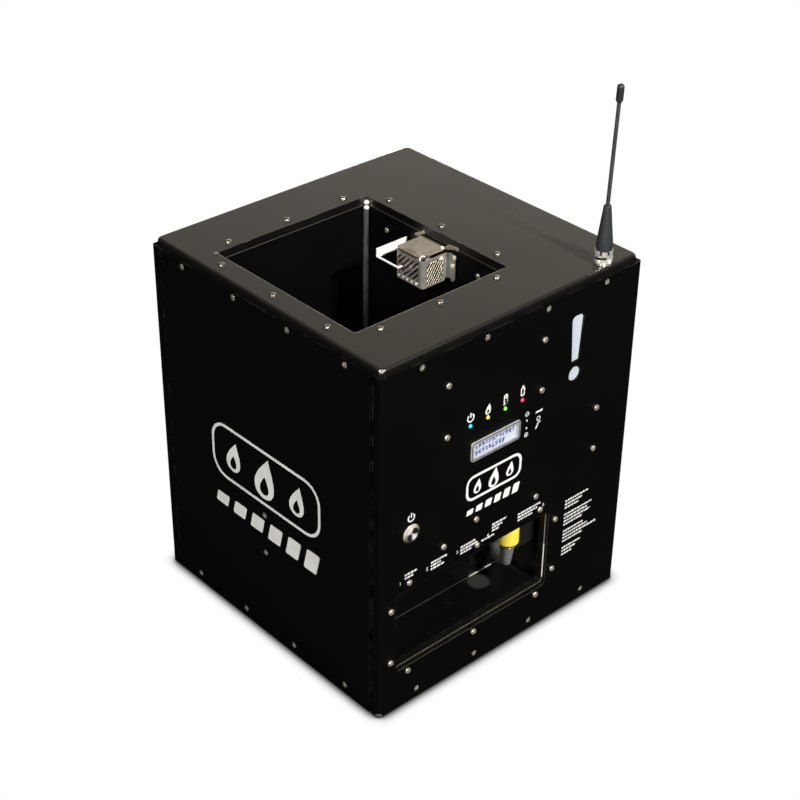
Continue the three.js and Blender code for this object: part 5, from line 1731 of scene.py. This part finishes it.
    def build(self, ink: Finish, numbers: Sequence[tuple[str, float, float, float]] = ()) -> Thing:
        """Makes the print a plain mesh on its side.

        Args:
            ink: The ink.
            numbers: Plain numbers with their left edge, foot and height.

        Returns:
            The piece.
        """
        parts = [applied(linked(self.name, self.curve))]
        for label, u, v, tall in numbers:
            text = bpy.data.curves.new(self.name + "_number", "FONT")
            text.body = label
            text.size = tall * MM * 1.37
            text.extrude = PRINT_ROOM
            flat = applied(linked(self.name + "_number", text))
            flat.data.transform(Matrix.Translation((u * MM, v * MM, 0)))
            parts.append(flat)
        whole = bmesh.new()
        for part in parts:
            whole.from_mesh(part.data)
            bpy.data.objects.remove(part)
        place = Matrix.Translation(self.face.outwards * self.at) @ self.face.turn()
        bmesh.ops.transform(whole, verts=whole.verts, matrix=place)
        return finished(from_bmesh(self.name, whole), ink)


@dataclass
class Markings:
    """The pale prints: a plain flame sign on the side and the panel, symbols, and rows of dashes."""

    side_sign: tuple[float, float, float] = (0.0, 152.0, 1.0)
    panel_sign: tuple[float, float, float] = (-20.5, 186.0, 0.44)
    sign_flames: tuple[Point2, ...] = ((-44, 32), (0, 44), (44, 32))
    icon_height: float = 268.6
    button_icon_rise: float = 15.9
    key_place: float = 16.2
    key_heights: Point2 = (243.6, 222.6)
    dot_heights: Point2 = (237.0, 229.4)
    captions: tuple[tuple[float, float, tuple[float, ...]], ...] = (
        (-121.8, 143.2, (13.5, 9.0)), (-92.0, 141.2, (19.0, 12.0, 16.0)), (-57.5, 140.2, (17.0, 19.5, 13.0)),
        (-32.5, 134.8, (15.0,)), (-20.0, 146.0, (17.0, 13.0, 8.0)), (12.0, 141.4, (28.0, 24.0, 18.0)),
    )
    caption_pitch: float = 3.3
    number_places: tuple[float, ...] = (-128.0, -97.6, -62.6, -26.0, 43.0)
    number_foot: float = 134.6
    number_height: float = 3.6
    block_corner: Point2 = (73.6, 126.2)
    block_pitch: float = 3.75
    block_rows: tuple[float, ...] = (30, 22, 18, 0, 36, 30, 34, 24, 0, 26, 32, 44, 26, 0, 24, 18, 14)
    dash_height: float = 1.9

    def build(self) -> None:
        """Makes every print."""
        side = Print("side_sign", Face.LEFT, -CASE_LOW.x - PRINT_ROOM)
        self.sign(side, *self.side_sign)
        side.build(WALL_INK)
        panel = Print("panel_sign", Face.FRONT, -CASE_LOW.y)
        self.sign(panel, *self.panel_sign)
        panel.build(WALL_INK)
        self.build_symbols()
        self.build_captions()

    def sign(self, target: Print, u: float, v: float, scale: float) -> None:
        """Draws the plain flame sign: three flames in a frame over a row of level bars.

        Args:
            target: The print.
            u: The sign's middle to the right.
            v: The sign's middle up.
            scale: Its size, 1 on the side wall.
        """
        middle = v + 22 * scale
        target.frame(u, middle, 150 * scale, 58 * scale, 20 * scale, 2.2 + 0.8 * scale)
        for offset, tall in self.sign_flames:
            target.flame(u + offset * scale, middle, tall * scale, 0.45)
        for step in range(6):
            target.bar(u + (step - 2.5) * 25 * scale, v - 32 * scale, 17 * scale, (12 + 2 * step) * scale,
                       2 * scale, lean=0.25)

    def build_symbols(self) -> None:
        """Makes the symbols above the lamps and the button, and the marks of the touch keys."""
        marks = Print("panel_symbols", Face.FRONT, -CASE_LOW.y)
        power, flame, cell, bottle = (middle_of("lamp_" + name).x / MM for name in LAMPS)
        marks.power(power, self.icon_height, 4.2, 1.35)
        marks.flame(flame, self.icon_height + 0.4, 10.4, 0.4)
        marks.battery(cell, self.icon_height + 0.8, 11.2)
        marks.bottle(bottle, self.icon_height + 1.4, 10.4)
        button = middle_of("button_cap") / MM
        marks.power(button.x, button.z + self.button_icon_rise, 4.1, 1.3)
        u = self.key_place
        less, more = self.key_heights
        for height in self.key_heights:
            marks.ring(u, height, 2.3, 0.6)
            marks.bar(u, height, 2.2, 0.6)
        for rise in (0.85, -0.85):
            marks.bar(u, more + rise, 0.6, 0.6)
        for height in self.dot_heights:
            marks.bar(u, height, 1.5, 1.9, 0.4)
        marks.bar(31.0, less - 3.0, 8.4, 1.9, lean=0.3)
        marks.ring(30.4, 233.4, 2.4, 0.9)
        marks.bar(29.2, 226.6, 1.6, 6.0, 0.5, lean=0.5)
        marks.bar(31.8, 229.4, 3.4, 1.3, 0.4)
        marks.build(FINE_INK)

    def build_captions(self) -> None:
        """Makes the dashes that stand for the captions and the list beside the bay."""
        rng = random.Random(21)
        captions = Print("socket_captions", Face.FRONT, -CASE_LOW.y)
        for left, top, widths in self.captions:
            captions.words(left, top, widths, self.caption_pitch, self.dash_height, rng)
        captions.build(FINE_INK, [(str(index + 1), place, self.number_foot, self.number_height)
                                  for index, place in enumerate(self.number_places)])
        block = Print("panel_list", Face.FRONT, -CASE_LOW.y)
        block.words(*self.block_corner, self.block_rows, self.block_pitch, self.dash_height, rng)
        block.build(FINE_INK)


# Each lamp's slot in the record and its colour
LAMPS = {
    "power": ("lamp_cyan", srgb(40, 196, 250)),
    "ignition": ("lamp_amber", srgb(236, 214, 60)),
    "charge": ("lamp_green", srgb(120, 226, 70)),
    "fuel": ("lamp_pink", srgb(246, 56, 118)),
}


@dataclass
class ControlPanel:
    """The display, its lamps, the power button and the lit status window."""

    columns: int = 12
    rows: int = 2
    last_row_columns: int = 9
    dots: tuple[int, int] = (3, 5)
    dot_skip_share: float = 0.32
    lit: Rgb = srgb(192, 202, 207)
    lit_rim: Rgb = srgb(158, 170, 184)
    groove_inset: float = 1.9
    lamp_dome: float = 1.7 * MM
    lamp_collar: float = 1.4 * MM

    def build(self) -> None:
        """Makes everything that is set into the panel."""
        self.build_display()
        self.build_characters()
        self.build_lamps()
        self.build_button()
        self.build_status()

    def build_display(self) -> None:
        """Makes the display's frame with its dark groove, and its lit glass."""
        dress_copy("display_frame", "display_bezel", FRAME_METAL, 0.45 * MM)
        glass = LitLens("lit_display", "display", self.lit, 0.25, glow=0.1,
                        middle=tuple(middle_of("display_glass")), reach=0.06, rim=self.lit_rim)
        dress_copy("display_glass", "display_pane", glass, 0.2 * MM)
        low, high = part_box("display_frame")
        middle, size = middle_of("display_frame") / MM, (high - low) / MM
        groove = Print("display_groove", Face.FRONT, -low.y - PRINT_ROOM)
        groove.frame(middle.x, middle.z, size.x - self.groove_inset, size.z - self.groove_inset, 1.2, 0.75)
        groove.build(GROOVE_INK)

    def build_characters(self) -> None:
        """Makes the blocks that the display shows, in two rows of characters of no meaning."""
        low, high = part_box("display_glass")
        middle = middle_of("display_glass")
        shape = bmesh.new()
        bmesh.ops.create_cube(shape, size=1)
        cells = Copies("display_blocks", hidden(from_bmesh("block", shape)), SEGMENT_INK)
        width = (high.x - low.x) * 0.88 / self.columns
        tall = (high.z - low.z) * 0.74 / self.rows
        size = (width * 0.27, tall * 0.19, 0.12 * MM)
        rng = random.Random(4)
        for row in range(self.rows):
            for column in range(self.last_row_columns if row else self.columns):
                shift = (column - (self.columns - 1) / 2) * width
                place = Vector((middle.x + shift, low.y, middle.z + (0.5 - row) * tall * 1.15))
                for across, up in itertools.product(range(self.dots[0]), range(self.dots[1])):
                    if rng.random() >= self.dot_skip_share:
                        aside = Vector(((across - 1) * width * 0.24, 0, (up - 2) * tall * 0.17))
                        cells.add(place + aside, Face.FRONT, size)
        cells.build()

    def build_lamps(self) -> None:
        """Makes the four coloured lamps."""
        for name, (slot, colour) in LAMPS.items():
            low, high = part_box("lamp_" + name)
            middle = middle_of("lamp_" + name)
            finish = LitLens("lamp_glow_" + name, slot, colour, 0.2, glow=0.75, middle=tuple(middle),
                             reach=0.006, rim=tuple(channel * 0.35 for channel in colour))
            dome, collar, deep = self.lamp_dome, (high.x - low.x) / 2, high.y - low.y
            step = deep - self.lamp_collar
            profile = [(0.0, 0.0), (dome * 0.45, 0.12 * MM), (dome * 0.8, 0.5 * MM), (dome, 1.2 * MM),
                       (dome, step), (collar, step), (collar, deep), (0.0, deep)]
            made = turned("lamp_lens_" + name, rounded(profile, 0.15 * MM), Vector((middle.x, low.y, middle.z)),
                          Axis.Y, 32)
            finished(made, finish, CASE, ["lamp_" + name])

    def build_button(self) -> None:
        """Makes the button: a polished bezel and the turned and dished cap, both with painted fans of reflected
        light and shade, and the nut behind.
        """
        low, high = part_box("button_body")
        middle = middle_of("button_body")
        rim, deep = (high.x - low.x) / 2, high.y - low.y
        bore, barrel, cup = 6.3 * MM, 8.0 * MM, 8.8 * MM
        bezel = [(bore, 0.2 * MM), (bore + 0.15 * MM, 0.0), (bore + 0.5 * MM, 0.05 * MM),
                 (rim - 0.3 * MM, 1.45 * MM), (rim, 1.75 * MM), (rim, 2.0 * MM), (barrel, 2.0 * MM)]
        for turn in range(20):
            start = 4.6 * MM + turn * 1.0 * MM
            bezel += [(barrel, start), (barrel - 0.35 * MM, start + 0.5 * MM)]
        bezel += [(barrel, deep), (0.0, deep), (0.0, cup), (bore, cup), (bore, 0.2 * MM)]
        # Painted reflection: one bright fan towards the upper left, the rest shaded.
        bright = TurnedMetal("button_bezel_nickel", "nickel", srgb(212, 204, 190), 0.2, middle=tuple(middle),
                             painted_highlight_turn=math.radians(118), fans=1.0, dark=srgb(70, 67, 64))
        made = turned("power_button_bezel", bezel, Vector((middle.x, low.y, middle.z)), Axis.Y, 64)
        finished(made, bright, CASE, ["button_body"])
        low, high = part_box("button_cap")
        radius, deep = (high.x - low.x) / 2, high.y - low.y
        cap = [(0.0, 1.05 * MM), (1.5 * MM, 1.0 * MM), (3.2 * MM, 0.74 * MM), (4.6 * MM, 0.32 * MM),
               (5.4 * MM, 0.02 * MM), (5.8 * MM, 0.12 * MM), (radius, 0.5 * MM), (radius, deep), (0.0, deep)]
        # Painted reflection: two bright fans and two shaded ones across the dish.
        steel = TurnedMetal("turned_button_steel", "nickel", srgb(240, 236, 232), 0.25, middle=tuple(middle),
                            painted_highlight_turn=math.radians(128))
        made = turned("power_button_cap", rounded(cap, 0.25 * MM), Vector((middle.x, low.y, middle.z)),
                      Axis.Y, 72)
        finished(made, steel, "power_button", ["button_cap"])
        dress_copy("button_nut", "button_lock_nut", NICKEL, 0.4 * MM)

    def build_status(self) -> None:
        """Lights the bar and the dot of the status window."""
        for node in ("status_bar_lens", "status_dot_lens"):
            glow = LitLens("glow_of_" + node, "status_white", srgb(186, 194, 200), 0.3, glow=0.12,
                           middle=tuple(middle_of(node)), reach=0.045, rim=srgb(170, 178, 196))
            dress_copy(node, node.replace("_lens", "_window"), glow, 0.15 * MM)
        paint_node(TANK_PLASTIC, "status_light_box")


@dataclass
class Antenna:
    """The bayonet jack, the plug's coupling ring, the rubber boot, the whip and its tip."""

    groove_turns: Point2 = (152.0, 240.0)
    groove_climb: Point2 = (3.6 * MM, 5.2 * MM)
    groove_width: float = 1.9 * MM
    groove_floor: float = 6.1 * MM
    cutter_reach: float = 9 * MM
    shade_rise: float = 0.02 * MM
    knob_circle: float = 7.1 * MM
    knobs: tuple[Point2, ...] = ((188.0, 1.3), (224.0, -1.2), (264.0, 1.3))
    jack_body: float = 5.6 * MM
    jack_neck: float = 4.7 * MM
    jack_flange: float = 2.4 * MM
    boot_neck: float = 3.3 * MM
    boot_stem: float = 6.5 * MM
    boot_shoulder: float = 3.7 * MM
    whip_radius: float = 1.75 * MM
    tip_radius: float = 3.05 * MM
    tip_foot: float = 2.3 * MM
    tip_dome: float = 3.0 * MM

    def build(self) -> None:
        """Makes the antenna from the lid upwards."""
        self.build_jack()
        self.build_ring()
        self.build_boot()
        self.build_whip()

    def build_jack(self) -> None:
        """Makes the jack that stands in the lid, with its nut below."""
        low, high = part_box("antenna_jack")
        middle = middle_of("antenna_jack")
        rim, tall = (high.x - low.x) / 2, high.z - low.z
        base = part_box("lid")[1].z + 0.3 * MM - low.z
        head = base + self.jack_flange
        profile = [(0.0, 0.0), (self.jack_body, 0.0), (self.jack_body, base), (rim, base), (rim, head),
                   (self.jack_neck, head), (self.jack_neck, tall), (0.0, tall)]
        made = turned("antenna_socket", rounded(profile, 0.3 * MM), Vector((middle.x, middle.y, low.z)))
        finished(made, NICKEL, CASE, ["antenna_jack"])
        dress_copy("jack_nut", "antenna_lock_nut", NICKEL, 0.3 * MM)

    def build_ring(self) -> None:
        """Makes the coupling ring with its slanting slot, a dark band of painted shade in the slot, and the
        knobs, whose near-white steel is a painted glint.
        """
        low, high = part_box("bayonet_ring")
        middle = middle_of("bayonet_ring")
        foot = Vector((middle.x, middle.y, low.z))
        cutter = self.groove("slot_cutter", foot, self.cutter_reach)
        ring = cut(fair_copy("bayonet_ring", "coupling_ring"), cutter)
        finished(broken_edges(ring, 0.3 * MM, 3), RING_NICKEL, "bayonet", ["bayonet_ring"])
        ball = rounded_disc("knob", 1.8 * MM, 1.8 * MM, 1.6 * MM, 1.6 * MM, 24, 6)
        knobs = Copies("coupling_knobs", ball, GLINT_STEEL)
        for degrees, height in self.knobs:
            turn = math.radians(degrees)
            out = Vector((math.cos(turn), math.sin(turn), 0)) * self.knob_circle
            knobs.add(foot + out + Vector((0, 0, height * MM)), Face.TOP)
        knobs.build("bayonet")
        # Painted shade: a dark band that fills the slot, just proud of the ring.
        shade = self.groove("coupling_slot_shade", foot, (high.x - low.x) / 2 + self.shade_rise)
        finished(shade, SLOT_SHADE, "bayonet")

    def groove(self, name: str, foot: Vector, reach: float) -> Thing:
        """Makes the band that climbs round the ring, for its slot and for the painted shade in it.

        Args:
            name: The band's name.
            foot: The middle of the ring's lower face.
            reach: The band's outer radius.

        Returns:
            The band.
        """
        shape = bmesh.new()
        sections = []
        steps = 14
        half = self.groove_width / 2
        (start, end), (foot_level, head_level) = self.groove_turns, self.groove_climb
        corners = ((self.groove_floor, -half), (reach, -half), (reach, half), (self.groove_floor, half))
        for step in range(steps + 1):
            share = step / steps
            turn = math.radians(start + (end - start) * share)
            level = foot_level + (head_level - foot_level) * share
            sections.append([shape.verts.new((out * math.cos(turn), out * math.sin(turn), level + side))
                             for out, side in corners])
        for before, after in zip(sections, sections[1:]):
            for side in range(4):
                other = (side + 1) % 4
                shape.faces.new((before[side], before[other], after[other], after[side]))
        shape.faces.new(sections[0])
        shape.faces.new(sections[-1])
        bmesh.ops.transform(shape, verts=shape.verts, matrix=Matrix.Translation(foot))
        return from_bmesh(name, shape)

    def build_boot(self) -> None:
        """Makes the tapering rubber boot."""
        low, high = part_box("antenna_boot")
        middle = middle_of("antenna_boot")
        base, tall = (high.x - low.x) / 2, high.z - low.z
        neck, stem, shoulder = self.boot_neck, self.boot_stem, self.boot_shoulder
        start = shoulder + tall / 8
        profile = [(0.0, 0.0), (stem, 0.0), (stem, shoulder), (base - 0.3 * MM, shoulder),
                   (base, shoulder + 0.4 * MM), (base, start - 0.5 * MM)]
        steps = 10
        for step in range(1, steps + 1):
            share = step / steps
            profile.append((base + (neck - base) * share, start + (tall - 0.5 * MM - start) * share))
        profile += [(neck - 0.5 * MM, tall), (0.0, tall)]
        made = turned("antenna_rubber_boot", profile, Vector((middle.x, middle.y, low.z)))
        finished(made, RUBBER, "antenna", ["antenna_boot"])

    def build_whip(self) -> None:
        """Makes the whip and its tip along the line that their nodes lean on."""
        foot, head = end_middles("antenna_whip")
        way = (head - foot).normalized()
        lean = way.to_track_quat("Z", "Y").to_matrix().to_4x4()
        radius, long = self.whip_radius, (head - foot).length
        rod = lathe([(0.0, 0.0), (radius, 0.0), (radius * 0.96, long), (0.0, long)], Vector(), sides=32)
        bmesh.ops.transform(rod, verts=rod.verts, matrix=Matrix.Translation(foot) @ lean)
        finished(from_bmesh("antenna_rod", rod), WHIP_SLEEVE, "antenna", ["antenna_whip"])
        start = head + way * 0.3 * MM
        tall = (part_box("antenna_tip")[1].z - start.z) / way.z - 0.1 * MM
        wide, dome = self.tip_radius, self.tip_dome
        profile = [(0.0, 0.0), (self.tip_foot, 0.0), (wide, 1.5 * MM), (wide, tall - dome)]
        steps = 8
        for step in range(1, steps):
            turn = step / steps * math.pi / 2
            profile.append((wide * math.cos(turn) ** 0.8, tall - dome + dome * math.sin(turn)))
        profile.append((0.0, tall))
        tip = lathe(profile, Vector(), sides=32)
        bmesh.ops.transform(tip, verts=tip.verts, matrix=Matrix.Translation(start) @ lean)
        finished(from_bmesh("antenna_cap", tip), DARK_PLASTIC, "antenna", ["antenna_tip"])


def end_middles(node: str) -> tuple[Vector, Vector]:
    """Finds the middles of a rod's lower and upper end faces.

    Args:
        node: The rod's node.

    Returns:
        The two middles.
    """
    points = [vertex.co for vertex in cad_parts[node].data.vertices]
    heights = [point.z for point in points]
    ends = []
    for level in (min(heights), max(heights)):
        near = [point for point in points if abs(point.z - level) < 0.4 * MM]
        axes = [[point[axis] for point in near] for axis in range(3)]
        ends.append(Vector([(min(axis) + max(axis)) / 2 for axis in axes]))
    return ends[0], ends[1]


@dataclass
class Inside:
    """What the closed case holds: fuel system, battery and electronics."""

    bodies: dict[str, str] = field(default_factory=lambda: {"tank_cap": "filler_cap"})
    tubes: tuple[str, ...] = ("suction_hose", "pressure_hose", "antenna_lead")
    pieces: tuple[tuple[str, str, Finish, float], ...] = (
        ("fuel_tank", "fluid_tank", TANK_PLASTIC, 0.6),
        ("tank_cap", "tank_screw_cap", DARK_PLASTIC, 0.4),
        ("pump_motor", "pump_motor_can", MOTOR_ENAMEL, 0.4),
        ("pump_head", "pump_casting", CAST, 0.5),
        ("pump_cradle", "pump_bracket", TRAY_PAINT, 0.4),
        ("valve_body", "valve_block", BRASS, 0.5),
        ("valve_coil", "valve_solenoid", DARK_PLASTIC, 0.4),
        ("battery", "battery_block", BATTERY_CASE, 0.8),
        ("battery_strap", "battery_clamp", STRAP_STEEL, 0.3),
        ("control_board", "main_board", GREEN_BOARD, 0.15),
        ("display_module", "display_housing", DARK_PLASTIC, 0.3),
        ("radio_module", "radio_box", CAST, 0.5),
    )

    def build(self) -> None:
        """Dresses the inner pieces."""
        for node, name, finish, edge in self.pieces:
            dress_copy(node, name, finish, edge * MM, self.bodies.get(node, CASE))
        for node in self.tubes:
            self.build_tube(node)

    def build_tube(self, node: str) -> None:
        """Makes a hose or lead round from its faceted solid."""
        tube = fair_copy(node, node + "_tube")
        with_modifier(tube, "SUBSURF", levels=2, render_levels=2)
        finished(applied(tube), RUBBER, CASE, [node])


@dataclass
class Studio:
    """A pale floor, soft lights and the camera at the photograph's angle."""

    azimuth: float = -42.577
    elevation: float = 31.862
    roll: float = 0.85
    focal_pixels: float = 1738.28
    image: float = 800.0
    principal_row: float = 380.0
    stand: Vector = field(default_factory=lambda: Vector((-0.89786, -0.98518, 1.04227)))
    sensor: float = 36.0
    nearest: float = 0.05
    floor_half: float = 9.0
    floor_grey: Rgb = (0.02, 0.02, 0.02)
    room_tint: Rgb = (1.0, 0.93, 0.83)
    room_light: float = 0.03
    wall_light: float = 1.15
    wall_way: Rgb = (0.91, 0.42, 0.0)
    shade_reach: float = 13.5 * MM
    shade_steps: tuple[Point2, ...] = (
        (0.5, 0.02), (0.614, 0.262), (0.724, 0.578), (0.826, 0.814), (0.915, 0.939), (0.981, 0.991), (1.0, 1.0),
    )

    def build(self) -> None:
        """Sets up everything round the object."""
        self.build_camera()
        self.build_floor()
        self.build_world()
        self.build_lights()

    def build_camera(self) -> None:
        """Places the camera."""
        around = math.radians(self.azimuth)
        above = math.radians(self.elevation)
        level = math.cos(above)
        back = Vector((math.sin(around) * level, -math.cos(around) * level, math.sin(above)))
        right = Vector((0, 0, 1)).cross(back).normalized()
        up = back.cross(right)
        tilt = math.radians(self.roll)
        columns = (right * math.cos(tilt) + up * math.sin(tilt), up * math.cos(tilt) - right * math.sin(tilt),
                   back)
        lens = bpy.data.cameras.new("camera")
        lens.sensor_width = self.sensor
        lens.lens = self.sensor * self.focal_pixels / self.image
        lens.shift_y = (self.principal_row - self.image / 2) / self.image
        lens.clip_start = self.nearest
        camera = linked("camera", lens)
        camera.matrix_world = Matrix.Translation(self.stand) @ Matrix(columns).transposed().to_4x4()
        bpy.context.scene.camera = camera

    def build_floor(self) -> None:
        """Makes the floor: white to the camera but for the shade at the object's foot, dark to the rest."""
        shape = bmesh.new()
        bmesh.ops.create_grid(shape, x_segments=1, y_segments=1, size=self.floor_half)
        mesh = bpy.data.meshes.new("floor")
        shape.to_mesh(mesh)
        shape.free()
        floor = as_object("floor", mesh)
        made = bpy.data.materials.new("pale_floor")
        graph = emptied(made)
        open_share = graph.node("AmbientOcclusion", {"samples": 16}, Distance=self.shade_reach).outputs["AO"]
        shade = graph.node("ValToRGB", Fac=open_share)
        ramp = shade.color_ramp.elements
        for place, _ in self.shade_steps[1:-1]:
            ramp.new(place)
        for element, (place, light) in zip(ramp, self.shade_steps):
            element.position = place
            element.color = (light, light, light, 1)
        seen = graph.node("Emission", Color=shade.outputs["Color"], Strength=1.0).outputs[0]
        bounced = graph.node("BsdfDiffuse", Color=self.floor_grey).outputs[0]
        graph.end_for_camera("OutputMaterial", seen, bounced)
        mesh.materials.append(made)
        floor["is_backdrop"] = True

    def build_world(self) -> None:
        """Makes a backdrop, white to the camera and a dim room with a bright far wall to the object."""
        world = bpy.data.worlds.new("studio")
        graph = emptied(world)
        way = graph.node("TexCoord").outputs["Generated"]
        height = graph.node("SeparateXYZ", Vector=way).outputs["Z"]
        behind = graph.vectors("DOT_PRODUCT", way, self.wall_way)
        facing = graph.ranged(behind.outputs["Value"], 0.55, 0.95)
        low = graph.ranged(height, 0.57, 0.3)
        wall = graph.sums("MULTIPLY", graph.sums("MULTIPLY", facing, low), self.wall_light)
        room = graph.sums("ADD", wall, self.room_light)
        white = graph.node("Background", Color=(1, 1, 1), Strength=1.0).outputs[0]
        dim = graph.node("Background", Color=self.room_tint, Strength=room).outputs[0]
        graph.end_for_camera("OutputWorld", white, dim)
        bpy.context.scene.world = world

    def build_lights(self) -> None:
        """Hangs the soft boxes."""
        warm, clear = (1.0, 0.98, 0.95), (1.0, 0.99, 0.97)
        self.soft_box("left", (-2.3, -0.6, 1.8), (0, 0, 0.2), 0.6, 62.0, warm)
        self.soft_box("front", (0.15, -2.2, 2.17), (0, 0, 0.15), 0.2, 126.0, warm)
        self.soft_box("rear", (1.9, 2.1, 0.16), (0, 0, 0.15), 0.3, 60.0, warm)
        self.soft_box("fill", (-1.8, -2.2, 0.5), (0, 0, 0.1), 0.3, 14.0, clear)

    def soft_box(self, name: str, at: Rgb, aim: Rgb, size: float, power: float, colour: Rgb) -> None:
        """Hangs one soft box that the camera doesn't see.

        Args:
            name: Its name.
            at: Where it hangs.
            aim: What it faces.
            size: Its edge.
            power: Its power in watts.
            colour: Its colour.
        """
        light = bpy.data.lights.new(name, "AREA")
        light.shape = "SQUARE"
        light.size = size
        light.energy = power
        light.color = colour
        box = linked(name, light)
        box.location = at
        box.rotation_euler = (Vector(at) - Vector(aim)).to_track_quat("Z", "Y").to_euler()
        box.visible_camera = False


def main() -> None:
    """Builds the studio and every sub-assembly in order."""
    logging.basicConfig(level=logging.INFO, format="%(name)s: %(message)s")
    bpy.context.scene.view_settings.view_transform = "Standard"
    for assembly in (Studio(), Case(), Well(), Igniter(), ConnectorBay(), Markings(), ControlPanel(), Antenna(),
                     Inside()):
        before = len(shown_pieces())
        assembly.build()
        LOG.info("%s: %d pieces shown, %d before", type(assembly).__name__, len(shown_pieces()), before)


if __name__ == "__main__":
    main()
